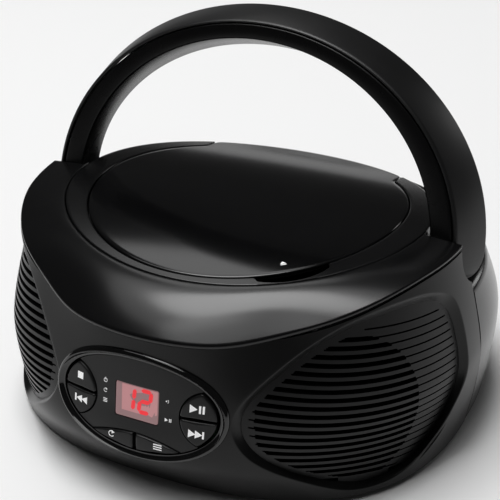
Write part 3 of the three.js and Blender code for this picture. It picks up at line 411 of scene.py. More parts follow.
# Lighter pink patch over the window is painted light; the darker strip it leaves at the window's left and
# bottom is a painted shadow of the recess.
PAINTED_SCREEN_LIGHT = glow("display_painted_light", (0.5, 0.23, 0.24), 0.85, (0.08, 0.03, 0.03))
BEZEL_LOOK = plastic("bezel_gloss", (0.0025, 0.0025, 0.0026), 0.07, grain=0.0005, grain_size=2.0,
                     specular=0.6)
LENS = plastic("lens_glass", (0.02, 0.03, 0.1), 0.05, coat=1.0)
SATIN_HANDLE = plastic("handle_satin", (0.0025, 0.0025, 0.0026), 0.27, grain=0.003, grain_size=0.4,
                       specular=0.2)
STRIP = plastic("handle_gloss", (0.003, 0.003, 0.0032), 0.4, grain=0.001, grain_size=1.2, specular=0.4)


# ---------------------------------------------------------------- cabinet
# Outlines of the speaker recess and of the grille in it, as (angle from the front, height).
RIM = (
    (72.6, 88.3), (79.8, 80), (82, 63), (81.6, 42), (76.8, 27.3), (70.6, 17.7), (62.8, 8.9), (55, 6.4),
    (46.2, 8.7), (35, 20.5), (25.9, 33.4), (22.7, 46.5), (25.3, 58.1), (34, 72.3), (44.5, 84.4), (54, 90),
    (64, 91),
)
GRILLE_LINE = (
    (74.2, 82.8), (79.2, 74), (81, 60), (80.8, 42), (75.8, 24), (67.7, 11.9), (58.5, 7.9), (49.3, 9.2),
    (36.5, 20.2), (27.8, 32.9), (24.5, 45), (27, 57), (36.5, 71.7), (45, 80.9), (54.2, 85.7), (65.1, 86.6),
)


def reach(outline, angles, middle):
    """Distance from the middle to a closed outline along each angle."""
    p = outline - middle
    q = np.roll(p, -1, axis=0)
    d = np.stack([np.cos(angles), np.sin(angles)], -1)
    best = np.zeros(len(angles))
    for (ax, ay), (bx, by) in zip(p, q):
        ex, ey = bx - ax, by - ay
        det = d[:, 0] * ey - d[:, 1] * ex
        t = (ax * ey - ay * ex) / np.where(np.abs(det) < 1e-9, 1e-9, det)
        u = (ax * d[:, 1] - ay * d[:, 0]) / np.where(np.abs(det) < 1e-9, 1e-9, det)
        hit = (t > 0) & (u >= -1e-6) & (u <= 1 + 1e-6)
        best = np.where(hit, np.maximum(best, t), best)
    return best


def to_flat(phi, z):
    """Cabinet angle and height laid out flat: x along the wall, y as a share of the wall's height."""
    return np.stack([phi * SIDE_SCALE, (z - BASE_Z) / (shell_top(phi) - BASE_Z) * FLAT_HEIGHT], -1)


def from_flat(p):
    phi = p[..., 0] / SIDE_SCALE
    return phi, BASE_Z + p[..., 1] / FLAT_HEIGHT * (shell_top(phi) - BASE_Z)


def speaker_side():
    """One side of the front shell: rings around the speaker, from the shell's edges down to the grille."""
    middle = to_flat(57.0, 47.0)
    low = np.array([14 * SIDE_SCALE, 0.0])
    high = np.array([89.8 * SIDE_SCALE, float(FLAT_HEIGHT)])
    corners = np.array([[high[0], high[1]], [low[0], high[1]], [low[0], low[1]], [high[0], low[1]]])
    at = np.arctan2(*(corners - middle).T[::-1])
    angles = np.unique(np.round(np.concatenate([np.linspace(-math.pi, math.pi, 225)[:-1], at]), 6))
    edge = reach(corners, angles, middle)
    rim = reach(to_flat(*spline(RIM, 240).T), angles, middle)
    inner = reach(to_flat(*spline(GRILLE_LINE, 240).T), angles, middle)
    ray = np.stack([np.cos(angles), np.sin(angles)], -1)
    rows = []
    for share in (1 - np.linspace(0, 1, 13)) ** 1.25:
        rows.append((rim + 0.9 + (edge - rim - 0.9) * share, 0))
    for share, offset in ((0.0, -0.03), (-0.25, -0.12), (-0.5, -0.32)):
        rows.append((rim + 0.6 + share, offset))
    for share, offset in ((0.06, -0.55), (0.3, -1.25), (0.6, -2.3), (0.9, -3.35), (1.0, -3.75), (1.0, -6)):
        rows.append((rim + (inner - rim) * share, offset))
    points = []
    for radius, offset in rows:
        phi, z = from_flat(middle + ray * radius[:, None])
        points.append(on_side(phi, z, offset))
    left_edge = np.abs(middle[0] + ray[:, 0] * edge - low[0]) < 1e-3
    shares = np.sort((middle + ray * edge[:, None])[left_edge, 1]) / FLAT_HEIGHT
    return np.array(points), shares


def pocket(name, side):
    """Space for one handle leg: round below the pivot, open upwards and to the rear."""
    clear = HANDLE_HALF + HANDLE_CLEAR
    profile = [(-clear * math.cos(a), -clear * math.sin(a)) for a in np.linspace(0, math.pi, 33)]
    profile += [(48, 0), (48, 50), (-clear, 50)]
    rows = []
    for x in (POCKET_X * side, 130 * side):
        local = np.array([(x, y, z) for y, z in profile])
        rows.append(handle_pose(local))
    return grid(name, np.array(rows), PAINTED_SHADE, None, wrap=True, caps=True)


def handle_pose(p):
    """From the handle's own upright plane to its place, leaning back about the pivot."""
    y = p[..., 1] * math.cos(HANDLE_LEAN) + p[..., 2] * math.sin(HANDLE_LEAN) + PIVOT[0]
    z = p[..., 2] * math.cos(HANDLE_LEAN) - p[..., 1] * math.sin(HANDLE_LEAN) + PIVOT[1]
    return np.stack([p[..., 0], y, z], -1)


def ellipse(half, count=128):
    t = np.linspace(0, 2 * math.pi, count + 1)[:-1]
    return np.stack([half[0] * np.cos(t), PANEL_Z + half[1] * np.sin(t)], -1)


def front_shell():
    """Lower front: the two speaker sides, joined by a strip with the same rows under the panel."""
    points, shares = speaker_side()
    rows, cols = points.shape[:2]
    right = points.reshape(-1, 3)
    faces = grid_faces(rows, cols, wrap=True)
    phi = np.linspace(-14, 14, 29)[None, :]
    z = BASE_Z + shares[:, None] * (shell_top(phi) - BASE_Z)
    middle = on_side(phi + 0 * z, z, 0)
    vertices = np.concatenate([right, right * [-1, 1, 1], middle.reshape(-1, 3)])
    faces += [tuple(len(right) + i for i in f[::-1]) for f in grid_faces(rows, cols, wrap=True)]
    faces += grid_faces(*middle.shape[:2], start=2 * len(right))
    shell = new_object("front_cabinet", vertices, faces, SATIN, "cabinet", replaces=("front_shell",),
                       sharp=50)
    thicken(shell, SHELL_WALL)
    hole = patch("panel_cutter", ellipse((41.9, 24.5)), ((4, 0), (-12, 0)), on_front, PAINTED_SHADE, None)
    close_cutter(hole)
    cut(shell, hole, pocket("pocket_right", 1), pocket("pocket_left", -1), sharp=50)


def close_cutter(piece):
    bm = bmesh.new()
    bm.from_mesh(piece.data)
    bmesh.ops.holes_fill(bm, edges=[e for e in bm.edges if e.is_boundary], sides=0)
    bmesh.ops.recalc_face_normals(bm, faces=bm.faces)
    bm.to_mesh(piece.data)
    bm.free()


def rear_shell():
    phi = np.linspace(90.15, 269.85, 181)
    lines = []
    foot = ((3.0, 3), (3.0, 1.4), (3.2, 0.6), (3.8, 0.15), (4.7, 0), (4.8, 0.45), (5.2, 0.45), (5.3, 0))
    for z, inset in foot:
        lines.append(polar(phi, rear_radius(phi, z + 0 * phi) - inset, z))
    for z in np.linspace(7, 72.6, 28):
        lines.append(polar(phi, rear_radius(phi, z + 0 * phi), z))
    corner = rear_radius(phi, 73.2 + 0 * phi)
    for a in np.radians((0, 15, 30, 45, 60, 75, 90)):
        lines.append(polar(phi, corner - 4 * (1 - math.cos(a)) - 1.2 * math.sin(a), 73.2 + 4 * math.sin(a)))
    start = corner - 5.2
    for share in (0.2, 0.4, 0.6, 0.8, 0.985):
        lines.append(polar(phi, start + (ring_radius(phi, GAP) - start) * share, SHELF_Z))
    lines.append(polar(phi, ring_radius(phi, GAP), SHELF_Z - 0.5))
    shell = grid("rear_cabinet", np.array(lines), GLOSS, "cabinet", replaces=("rear_shell",), sharp=50)
    thicken(shell, SHELL_WALL)
    cut(shell, *rear_cutters(), sharp=50)


def rear_frame(phi, z):
    """Place and turn of a fitting on the rear wall: x along the wall, y into the cabinet."""
    z = float(z)
    before, here, after = (polar(p, rear_radius(np.float64(p), z), z) for p in (phi - 2, phi, phi + 2))
    along = after - before
    turn = math.atan2(along[1], along[0])
    c, s = math.cos(turn), math.sin(turn)
    return lambda p: here + np.asarray(p, float) @ np.array([[c, s, 0], [-s, c, 0], [0, 0, 1]])


INLET = rear_frame(137, 20)
KNOB = rear_frame(229, 56)
SWITCH = rear_frame(138, 56)
AUX = rear_frame(146, 56)
GROMMET = rear_frame(214, 60)


def ring_of(radius, y):
    t = np.linspace(0, 2 * math.pi, 49)[:-1]
    return np.stack([radius * np.cos(t), y + 0 * t, radius * np.sin(t)], -1)


def rounded(x, z, r, y):
    """Rounded rectangle in a fitting's own frame."""
    points = []
    for cx, cz, start in ((x - r, z - r, 0), (r - x, z - r, 90), (r - x, r - z, 180), (x - r, r - z, 270)):
        for a in np.radians(np.linspace(start, start + 90, 6)):
            points.append((cx + r * math.cos(a), y, cz + r * math.sin(a)))
    return np.array(points)


def rear_cutters():
    def tube(name, place, outline):
        rows = np.array([place(outline(y)) for y in (-10, 14)])
        return grid(name, rows, PAINTED_SHADE, None, wrap=True, caps=True)

    door = np.array([rounded(48, 22, 2, y) + [0, 0, 38] for y in (60, 130)])
    return (
        tube("inlet_cutter", INLET, lambda y: rounded(12.4, 9.4, 1.5, y)),
        tube("knob_cutter", KNOB, lambda y: ring_of(11.4, y)),
        tube("switch_cutter", SWITCH, lambda y: rounded(7, 3.5, 0.8, y)),
        tube("aux_cutter", AUX, lambda y: ring_of(4.8, y)),
        tube("grommet_cutter", GROMMET, lambda y: ring_of(3.5, y)),
        grid("door_cutter", door, PAINTED_SHADE, None, wrap=True, caps=True),
    )


def trim_pockets(piece):
    """Cuts the handle's space out of a sheet, along the pocket's front and inner faces."""
    bm = bmesh.new()
    bm.from_mesh(piece.data)
    front = Vector(handle_pose(np.array([0, -HANDLE_HALF - HANDLE_CLEAR, 0]))) * MM
    normal = Vector((0, math.cos(HANDLE_LEAN), -math.sin(HANDLE_LEAN)))
    sides = [(Vector((side * POCKET_X * MM, 0, 0)), Vector((side, 0, 0))) for side in (1, -1)]
    for point, across in [(front, normal)] + sides:
        everything = list(bm.verts) + list(bm.edges) + list(bm.faces)
        bmesh.ops.bisect_plane(bm, geom=everything, plane_co=point, plane_no=across, dist=1e-7)
    gone = []
    for face in bm.faces:
        middle = face.calc_center_median()
        if (middle - front).dot(normal) > 0 and abs(middle.x) > POCKET_X * MM:
            gone.append(face)
    bmesh.ops.delete(bm, geom=gone, context="FACES")
    bm.to_mesh(piece.data)
    bm.free()


def top_shell():
    phi = np.linspace(-89.6, 89.6, 241)
    ring = ring_radius(phi, GAP)
    crease = crease_radius(phi)
    ring_z = crown_z(polar(phi, ring, 0)[:, 1])
    drop_z = crease_z(phi)
    over = visor_overhang(phi)

    def row(s, down=0.0, out=0.0):
        r = ring + (crease - ring) * s + out
        return polar(phi, r, ring_z + (drop_z - ring_z) * s**1.7 - down)

    lines = [row(0, 4), row(0, 0.5), row(0.005, 0.16), row(0.018, 0.03)]
    lines += [row(s) for s in np.concatenate([np.linspace(0.04, 0.93, 22), [0.955, 0.972]])]
    lines += [row(0.985, 0.05, -0.05), row(0.995, 0.2, -0.06), row(1, 0.5, -0.05)]
    lines += [row(1, 1.0, -0.05), row(1, 1.6, -0.3), row(1, 2.3, -0.9)]
    lines.append(polar(phi, crease - over - 0.6, drop_z - 2.6))
    lines.append(polar(phi, crease - over - 3, drop_z - 2.7))
    shell = grid("top_visor", np.array(lines), GLOSS, "cabinet", replaces=("top_shell",), sharp=60)
    trim_pockets(shell)
    thicken(shell, VISOR_WALL)


# ---------------------------------------------------------------- ring and lid
def notch_edge(phi, inner):
    """Inner edge of the ring, cut back at the finger notch right of the front."""
    t = (phi - NOTCH_ANGLE) / NOTCH_HALF
    bite = LID_RADIUS + 2.8 + 4.2 * (1 - t * t)
    ease = smooth(0, 0.12, 1 - np.abs(t))
    return np.where(np.abs(t) < 1, np.maximum(inner, inner + (bite - inner) * ease), inner)


def lid_ring():
    around = np.concatenate([np.linspace(-RING_END, RING_END, 421), np.linspace(23, 59, 241)])
    phi = np.unique(np.round(around, 4))
    inner, outer = notch_edge(phi, lid_radius(phi, 0.75)), ring_radius(phi)
    outer = np.maximum(outer, inner + 0.8)

    def row(share, down=0.0, shift=0.0):
        r = inner + (outer - inner) * share + shift
        return polar(phi, r, crown_z(polar(phi, r, 0)[:, 1]) - down)

    lines = [row(0, 6.5), row(0, 0.45), row(0, 0.14, 0.1), row(0, 0, 0.35)]
    lines += [row(s) for s in np.linspace(0.12, 0.88, 7)]
    lines += [row(1, 0, -0.35), row(1, 0.14, -0.1), row(1, 0.45)]
    lines += [polar(phi, outer - inset, z) for inset, z in ((0, 80), (0, 70), (1, 70), (1, 80))]
    ends = [tuple(k * len(phi) + j for k in range(len(lines))) for j in (0, len(phi) - 1)]
    faces = grid_faces(len(lines), len(phi)) + ends
    new_object("ring", np.concatenate(lines), faces, GLOSS, "cabinet", replaces=("lid_ring",), sharp=50)
    back = np.linspace(RING_END - 1, 360 - RING_END + 1, 80)
    profile = ((0, 70), (0, 74.2), (0.2, 74.4), (2, 74.4), (2.2, 74.2), (2.2, 70))
    wall = [polar(back, ring_radius(back) - inset, z) for inset, z in profile]
    grid("ring_rear_wall", np.array(wall), GLOSS, "cabinet")


def lid():
    phi = np.linspace(0, 360, 481)[:-1]
    outline = lid_radius(phi)

    def row(share, down=0.0, inset=0.0):
        r = outline * share - inset
        p = polar(phi, r, 0)
        dome = np.maximum(0, 1 - (r / LID_RADIUS) ** 2)
        p[:, 2] = crown_z(p[:, 1]) + dome - down
        return p

    lines = [row(s) for s in (0.02, 0.1, 0.2, 0.3, 0.4, 0.5, 0.6, 0.7, 0.8, 0.88, 0.94, 0.97)]
    lines += [row(1, 0, 0.9), row(1, 0.08, 0.4), row(1, 0.25, 0.12), row(1, 0.6), row(1, 2.0)]
    lines += [row(1, LID_SKIN, 0.4), row(1, LID_SKIN, 2.5)]
    lines += [row(s, LID_SKIN) for s in (0.9, 0.7, 0.5, 0.3, 0.1, 0.02)]
    grid("lid_cover", np.array(lines), LIDGLOSS, "lid", wrap=True, caps=True, replaces=("cd_lid",),
         sharp=60)
    lid_stiffener()
    lid_rear_lip()
    lid_arms()


def lid_stiffener():
    skirt = []
    around = np.linspace(-145, 145, 240)
    for r, high in ((71.0, 2.2), (71.0, 3.8), (71.3, 4.0), (72.3, 4.0), (72.6, 3.8), (72.6, 2.2)):
        skirt.append(polar(around, r, crown_z(polar(around, r, 0)[:, 1]) - high))
    grid("lid_stiffener", np.array(skirt), DARK, "lid")


def lid_rear_lip():
    back = np.linspace(143.5, 216.5, 90)
    lip = []
    for inset, z in ((0.3, None), (0.15, 78.6), (0.4, 78.2), (1.9, 78.2), (2.2, 78.6), (2.2, None)):
        r = ring_radius(back, -inset)
        lip.append(polar(back, r, crown_z(polar(back, r, 0)[:, 1]) - 0.8 if z is None else z))
    grid("lid_rear_lip", np.array(lip), LIDGLOSS, "lid")


def lid_arms():
    for name, x in (("lid_arm_right", 15), ("lid_arm_left", -15)):
        side = []
        for a in np.radians(np.linspace(0, 180, 17)):
            side.append((HINGE[0] - 3 * math.cos(a), HINGE[1] - 3 * math.sin(a)))
        side += [(HINGE[0] + 2.4, 86.9), (HINGE[0] - 3, 86.9)]
        rows = [np.array([(x + dx, y, z) for y, z in side]) for dx in (-3.1, 3.1)]
        grid(name, np.array(rows), DARK, "lid", wrap=True, caps=True)


# ---------------------------------------------------------------- handle
def handle_point(p, q, t, beta=None):
    """Point of the handle: p runs front to back, q from the outer face to the inner one, t round the arch.

    With beta given, the point is on the rounded foot below the pivot instead.
    """
    outer_a, outer_b = (front + flare * p for front, flare in zip(HANDLE_OUTER, OUTER_FLARE))
    inner_a, inner_b = (front + flare * p for front, flare in zip(HANDLE_INNER, INNER_FLARE))
    y = HANDLE_HALF * (2 * p - 1)
    if beta is None:
        a, b = outer_a + (inner_a - outer_a) * q, outer_b + (inner_b - outer_b) * q
        return np.stack([a * math.cos(t), y, b * math.sin(t)], -1)
    k = (y * math.cos(beta) / HANDLE_HALF + 1) / 2
    outer_a, inner_a = HANDLE_OUTER[0] + OUTER_FLARE[0] * k, HANDLE_INNER[0] + INNER_FLARE[0] * k
    a = outer_a + (inner_a - outer_a) * q
    sign = 1 if t < 1 else -1
    return np.stack([sign * a, y * math.cos(beta), 0 * y - HANDLE_HALF * math.sin(beta)], -1)


def round_profile(q0, q1, rp, rq):
    """Rounded rectangle in (p, q), where rp and rq are the corner's share of the depth and the thickness."""
    points = []
    corners = ((1 - rp, q1 - rq, 0), (rp, q1 - rq, 90), (rp, q0 + rq, 180), (1 - rp, q0 + rq, 270))
    for cp, cq, start in corners:
        for a in np.radians(np.linspace(start, start + 90, 5)):
            points.append((cp + rp * math.cos(a), cq + rq * math.sin(a)))
    return np.array(points)


def handle_sweep(name, profile, material, replaces):
    p, q = profile[:, 0], profile[:, 1]
    foot = [math.radians(b) for b in (89, 82, 74, 66, 56, 46, 36, 24, 12)]
    rows = [handle_point(p, q, 0, beta) for beta in foot]
    rows += [handle_point(p, q, t) for t in np.linspace(0, math.pi, 121)]
    rows += [handle_point(p, q, math.pi, beta) for beta in foot[::-1]]
    points = handle_pose(np.array(rows))
    return grid(name, points, material, "handle", wrap=True, caps=True, replaces=replaces, sharp=45)


def handle():
    handle_sweep("handle_strip", round_profile(0.0, 0.17, 0.06, 0.085), STRIP, ("handle_cover",))
    handle_sweep("handle_body", round_profile(0.195, 1.0, 0.05, 0.09), SATIN_HANDLE, ("handle_frame",))


# ---------------------------------------------------------------- grilles
def grille(side, replaced):
    """Slotted grille: rows follow the slots, which drop a little towards the outside of the cabinet."""
    angle, height, round_field = DRIVER
    centre = on_side(np.float64(angle), np.float64(height), 0)
    along = np.array([math.cos(math.radians(angle)), math.sin(math.radians(angle)), 0])
    line = spline(GRILLE_LINE, 240)
    columns = np.linspace(23, 83, 241)
    heights, kinds = [], []
    slots = [83.6] + [79.7 - SLOT_PITCH * k for k in range(19)]
    half, thin = 0.88, 0.26
    # Rows across one slot: kind 0 is the bar, 1 the wide part of the slot, 2 its thin middle.
    below = ((-1.35, 0), (-half - 0.15, 0), (-half, 1), (-thin - 0.1, 1), (-thin, 2))
    profile = below + tuple((-dz, kind) for dz, kind in below[::-1])
    for z in slots[::-1]:
        for dz, kind in profile:
            heights.append(z + dz)
            kinds.append(kind)
    heights = np.array([2, 5, 8] + heights + [86, 88, 92])
    kinds = np.array([0, 0, 0] + kinds + [0, 0, 0])
    phi, base = np.meshgrid(columns, heights)
    kind = np.broadcast_to(kinds[:, None], phi.shape)
    z = base - SLOT_DROP * (phi - 50)
    spot = on_side(phi, z, 0) - centre
    within = np.hypot(spot @ along, spot[..., 2]) < round_field
    flat = np.stack([phi * SIDE_SCALE, z], -1)
    margin = inside_by(line * [SIDE_SCALE, 1], flat)
    open_slot = margin > 3.0
    deep = open_slot & within & (kind > 0)
    shallow = open_slot & ~within & (kind == 2)
    offset = np.where(deep, -8.0, np.where(shallow, -4.9, GRILLE_SINK))
    points = on_side(phi, z, offset) * [side, 1, 1]
    faces = []
    rows, cols = phi.shape
    for i in range(rows - 1):
        for j in range(cols - 1):
            if margin[i, j] < -2.2:
                continue
            quad = (i * cols + j, i * cols + j + 1, (i + 1) * cols + j + 1, (i + 1) * cols + j)
            faces.append(quad if side > 0 else quad[::-1])
    name = replaced.replace("speaker_", "") + "_slats"
    piece = new_object(name, points.reshape(-1, 3), faces, [GRILLE, PAINTED_SHADE], "cabinet",
                       replaces=(replaced,), sharp=40)
    paint_slot_shade(piece)


def paint_slot_shade(piece):
    """Paints shade into the slots: their deep parts get the near-black look, and the points that no face
    uses are dropped.
    """
    bm = bmesh.new()
    bm.from_mesh(piece.data)
    for face in bm.faces:
        c = face.calc_center_median() / MM
        depth = math.hypot(c.x, c.y)
        face.material_index = 0
        p = math.degrees(math.atan2(abs(c.x), -c.y))
        # Faces more than 4.3 mm under the cabinet's surface get the painted shade.
        if depth < front_radius(np.float64(p), np.float64(c.z)) - 4.3:
            face.material_index = 1
    bmesh.ops.delete(bm, geom=[v for v in bm.verts if not v.link_faces], context="VERTS")
    bm.to_mesh(piece.data)
    bm.free()


def inside_by(outline, points):
    """Signed distance from a closed outline, positive inside."""
    a, b = outline, np.roll(outline, -1, axis=0)
    best = np.full(points.shape[:2], 1e9)
    crossings = np.zeros(points.shape[:2], int)
    for p, q in zip(a, b):
        e = q - p
        t = np.clip(((points - p) @ e) / (e @ e), 0, 1)
        best = np.minimum(best, np.linalg.norm(points - p - t[..., None] * e, axis=-1))
        above = (p[1] > points[..., 1]) != (q[1] > points[..., 1])
        x = p[0] + (points[..., 1] - p[1]) / (e[1] if abs(e[1]) > 1e-9 else 1e-9) * e[0]
        crossings += above & (points[..., 0] < x)
    return np.where(crossings % 2 == 1, best, -best)


# ---------------------------------------------------------------- control panel
def bezel():
    outer, inner = ellipse(BEZEL, 192), ellipse((PLATE[0] + 0.5, PLATE[1] + 0.5), 192)
    profile = [(0, -1.5)]
    profile += [(0.5 * (1 - math.cos(a)), 1.8 * math.sin(a)) for a in np.radians(np.linspace(0, 90, 10))]
    for a in np.radians(np.linspace(18, 90, 8)):
        profile.append((1 - 0.5 * math.cos(a), 1.8 - 1.7 * math.sin(a) ** 2))
    profile += [(1, -1.2)]
    rows = []
    for share, offset in profile:
        p = outer + (inner - outer) * share
        rows.append(on_front(p[:, 0], p[:, 1], offset))
    grid("bezel_ring", np.array(rows), BEZEL_LOOK, "cabinet", wrap=True, replaces=("panel_bezel",),
         sharp=60)


def arc(cx, cz, r, start, end, count):
    t = np.radians(np.linspace(start, end, count))
    return np.stack([cx + r * np.cos(t), cz + r * np.sin(t)], -1)


def side_button(sx, up):
    """Half of the round key cluster that the plate's edge cuts off."""
    x, z, r = KEY_CIRCLE
    foot = z + (KEY_SPLIT if up else -KEY_SPLIT)
    a, b = PLATE[0] * PLATE_EDGE, PLATE[1] * PLATE_EDGE
    circle = arc(x, z, r, 178 if up else -178, 30 if up else -30, 60)
    circle = circle[(circle[:, 0] / a) ** 2 + ((circle[:, 1] - PANEL_Z) / b) ** 2 < 1]
    circle = circle[(circle[:, 1] - z) * (1 if up else -1) > KEY_SPLIT]
    start = math.atan2((circle[-1, 1] - PANEL_Z) / b, circle[-1, 0] / a)
    end = math.asin((foot - PANEL_Z) / b)
    t = np.linspace(start, end, 16)[1:]
    rim = np.stack([a * np.cos(t), PANEL_Z + b * np.sin(t)], -1)
    base = np.stack([np.linspace(rim[-1, 0], circle[0, 0], 24)[1:-1], np.full(22, foot)], -1)
    outline = np.concatenate([circle, rim, base]) * [sx, 1]
    return outline if (sx > 0) == up else outline[::-1]


def lower_curve(x, grow=0.0):
    """Height of the upper edge of the two lower keys."""
    high, drop, reach_x = LOWER_KEYS
    return high + grow - drop * (x / reach_x) ** 2


def program_button(sx):
    x = np.linspace(KEY_SPLIT, 21, 24)
    top = np.stack([x, lower_curve(x)], -1)
    x = np.linspace(21.35, KEY_SPLIT, 24)
    edge = np.stack([x, PANEL_Z - PLATE[1] * PLATE_EDGE * np.sqrt(1 - (x / PLATE[0]) ** 2)], -1)
    middle = np.stack([np.full(5, KEY_SPLIT), np.linspace(edge[-1, 1], top[0, 1], 7)[1:-1]], -1)
    return np.concatenate([top, edge, middle]) * [sx, 1]


BUTTONS = {
    "button_stop": side_button(-1, True),
    "button_previous": side_button(-1, False),
    "button_play_pause": side_button(1, True),
    "button_next": side_button(1, False),
    "button_repeat": program_button(-1),
    "button_program": program_button(1),
}


def buttons():
    for name, outline in BUTTONS.items():
        steps = ((0.5, 1.3), (0.42, 0.75), (0.22, 0.45), (-0.1, 0.3), (-3.5, 0.3))
        patch(name.replace("button", "key"), outline, steps, on_front, PLATE_LOOK, name,
              replaces=(name,), sharp=70)


def panel():
    face = patch("control_plate", ellipse(PLATE, 160), ((-0.4, 0),), on_front, PLATE_LOOK, "cabinet",
                 rings=20, replaces=("panel_plate",), sharp=50)
    thicken(face, 1.6)
    through_cut = ((4, 0), (-8, 0))
    cutters = []
    for sx in (-1, 1):
        circle = arc(sx * KEY_CIRCLE[0], KEY_CIRCLE[1], KEY_CIRCLE[2] + GAP, 0, 360, 97)[:-1]
        cutters.append(patch("cluster_cutter", circle, through_cut, on_front, PAINTED_SHADE, None))
    x = np.linspace(-26.5, 26.5, 61)
    lower = np.concatenate([
        np.stack([x, lower_curve(x, GAP)], -1),
        np.stack([x[::-4], np.full(16, PANEL_Z - PLATE[1] - 4)], -1),
    ])
    cutters.append(patch("lower_cutter", lower, through_cut, on_front, PAINTED_SHADE, None))
    cutters.append(patch("window_cutter", window_outline(0.25), through_cut, on_front, PAINTED_SHADE, None))
    for cutter in cutters:
        close_cutter(cutter)
    cut(face, *cutters, sharp=50)


def window_outline(grow=0.0):
    x, low, high, r = WINDOW_BOX[0] + grow, WINDOW_BOX[1] - grow, WINDOW_BOX[2] + grow, 0.9
    points = []
    corners = ((x - r, high - r, 0), (r - x, high - r, 90), (r - x, low + r, 180), (x - r, low + r, 270))
    for cx, cz, start in corners:
        points += list(arc(cx, cz, r, start, start + 90, 5))
    return np.array(points)


# Strokes lit for each digit, and the ends of each stroke as shares of the digit's width and height.
DIGIT_STROKES = {"1": "bc", "2": "abged"}
STROKE_ENDS = {
    "a": ((0, 1), (1, 1)), "b": ((1, 1), (1, 0.5)), "c": ((1, 0.5), (1, 0)),
    "d": ((0, 0), (1, 0)), "e": ((0, 0.5), (0, 0)), "g": ((0, 0.5), (1, 0.5)),
}


def digit_strokes(text, x, z, width, height):
    """Seven-segment strokes as closed outlines, slanted a little to the right."""
    half = 0.92
    strokes = []
    for segment in DIGIT_STROKES[text]:
        (x0, z0), (x1, z1) = STROKE_ENDS[segment]
        p = np.array([x + x0 * width, z + z0 * height])
        q = np.array([x + x1 * width, z + z1 * height])
        d = (q - p) / np.linalg.norm(q - p)
        n = np.array([-d[1], d[0]])
        p, q = p + d * 0.12, q - d * 0.12
        near, far, side = p + d * half, q - d * half, n * half
        outline = [p, near + side, far + side, q, far - side, near - side]
        strokes.append(np.array([(a + (b - z) * 0.1, b) for a, b in outline]))
    return strokes


def decal(name, outlines, offset, material, body, place=None, depth=0.12):
    """Thin raised print: each outline becomes a low prism on the surface."""
    place = place or on_front
    vertices, faces = [], []
    for outline in outlines:
        outline = np.asarray(outline, float)
        start, n = len(vertices), len(outline)
        for lift in (offset, offset - depth):
            vertices += list(place(outline[:, 0], outline[:, 1], lift))
        faces.append(tuple(start + k for k in range(n)))
        for k in range(n):
            after = (k + 1) % n
            faces.append((start + k, start + after, start + n + after, start + n + k))
    return new_object(name, vertices, faces, material, body, sharp=20)


def display():
    steps = ((-0.55, 0.4), (-0.6, 0.15), (-0.9, 0), (-1.6, 0))
    patch("display_glass", window_outline(), steps, on_front, WINDOW_GLOW, "cabinet",
          replaces=("display_window",), sharp=50)
    # Painted light on the window, leaving a painted shadow along its left and bottom edges.
    decal("display_painted_light", [box_mark(1.4, 50.9, 17.6, 12.2)], -0.46, PAINTED_SCREEN_LIGHT, "cabinet", depth=0.1)
    strokes = digit_strokes("1", -6.4, 45.9, 4.5, 10.2) + digit_strokes("2", 1.1, 45.9, 5.1, 10.2)
    decal("display_digits", strokes, -0.34, DIGIT, "cabinet", depth=0.1)


# ---------------------------------------------------------------- printed marks
def box_mark(x, z, w, h):
    left, right, low, high = x - w / 2, x + w / 2, z - h / 2, z + h / 2
    return [(left, low), (right, low), (right, high), (left, high)]


def arrow_mark(x, z, size, way):
    back, tip, rise = x - way * size / 2, x + way * size / 2, size * 0.55
    return [(back, z - rise), (tip, z), (back, z + rise)][::way]


KEY_FACE = 0.62           # print on a key's face
PLATE_FACE = -0.3         # print on the plate's face


def key_marks():
    """Generic symbols on the six keys."""
    decal("mark_stop", [box_mark(-29.2, 54.3, 3, 3)], KEY_FACE, PRINT_GLOW, "button_stop")
    previous = [box_mark(-31.6, 43.5, 0.8, 3.2)] + [arrow_mark(x, 43.5, 3, -1) for x in (-29.6, -26.7)]
    decal("mark_previous", previous, KEY_FACE, PRINT_GLOW, "button_previous")
    play = [arrow_mark(27, 53.5, 3.4, 1)] + [box_mark(x, 53.5, 0.9, 3.4) for x in (29.8, 31.4)]
    decal("mark_play_pause", play, KEY_FACE, PRINT_GLOW, "button_play_pause")
    following = [arrow_mark(x, 42.2, 3.2, 1) for x in (26.8, 29.8)] + [box_mark(31.8, 42.2, 0.8, 3.2)]
    decal("mark_next", following, KEY_FACE, PRINT_GLOW, "button_next")
    decal("mark_repeat", loop_mark(-11.4, 32.8, 1.3), KEY_FACE, PRINT_GLOW, "button_repeat")
    listing = [box_mark(11.6, z, 4.0, 0.45) for z in (31.6, 32.7, 33.8)]
    decal("mark_program", listing, KEY_FACE, PRINT_GLOW, "button_program")


def plate_marks():
    """Small generic symbols left and right of the display."""
    power = ring_mark(-16, 56, 0.85, 0.3, 120, 420) + [box_mark(-16, 56.8, 0.3, 1.1)]
    decal("mark_power", power, PLATE_FACE, PRINT_GLOW, "cabinet")
    decal("mark_loop_small", loop_mark(-16, 51.3, 0.8), PLATE_FACE, PRINT_GLOW, "cabinet")
    listing = [box_mark(-16, z, 2.0, 0.3) for z in (45.9, 46.6, 47.3)]
    decal("mark_list_small", listing, PLATE_FACE, PRINT_GLOW, "cabinet")
    radio = [arc(14.4, 54, 0.35, 0, 337.5, 12)] + ring_mark(14.4, 54, 1.0, 0.25, -50, 50)
    decal("mark_wireless", radio, PLATE_FACE, PRINT_GLOW, "cabinet")
    play = [arrow_mark(14.6, 45.4, 1.4, 1)] + [box_mark(x, 45.4, 0.35, 1.5) for x in (16.1, 16.8)]
    decal("mark_play_small", play, PLATE_FACE, PRINT_GLOW, "cabinet")


def loop_mark(x, z, r):
    return ring_mark(x, z, r, r * 0.32, 50, 330) + [arrow_mark(x + r * 0.75, z + r * 0.75, r * 1.1, 1)]


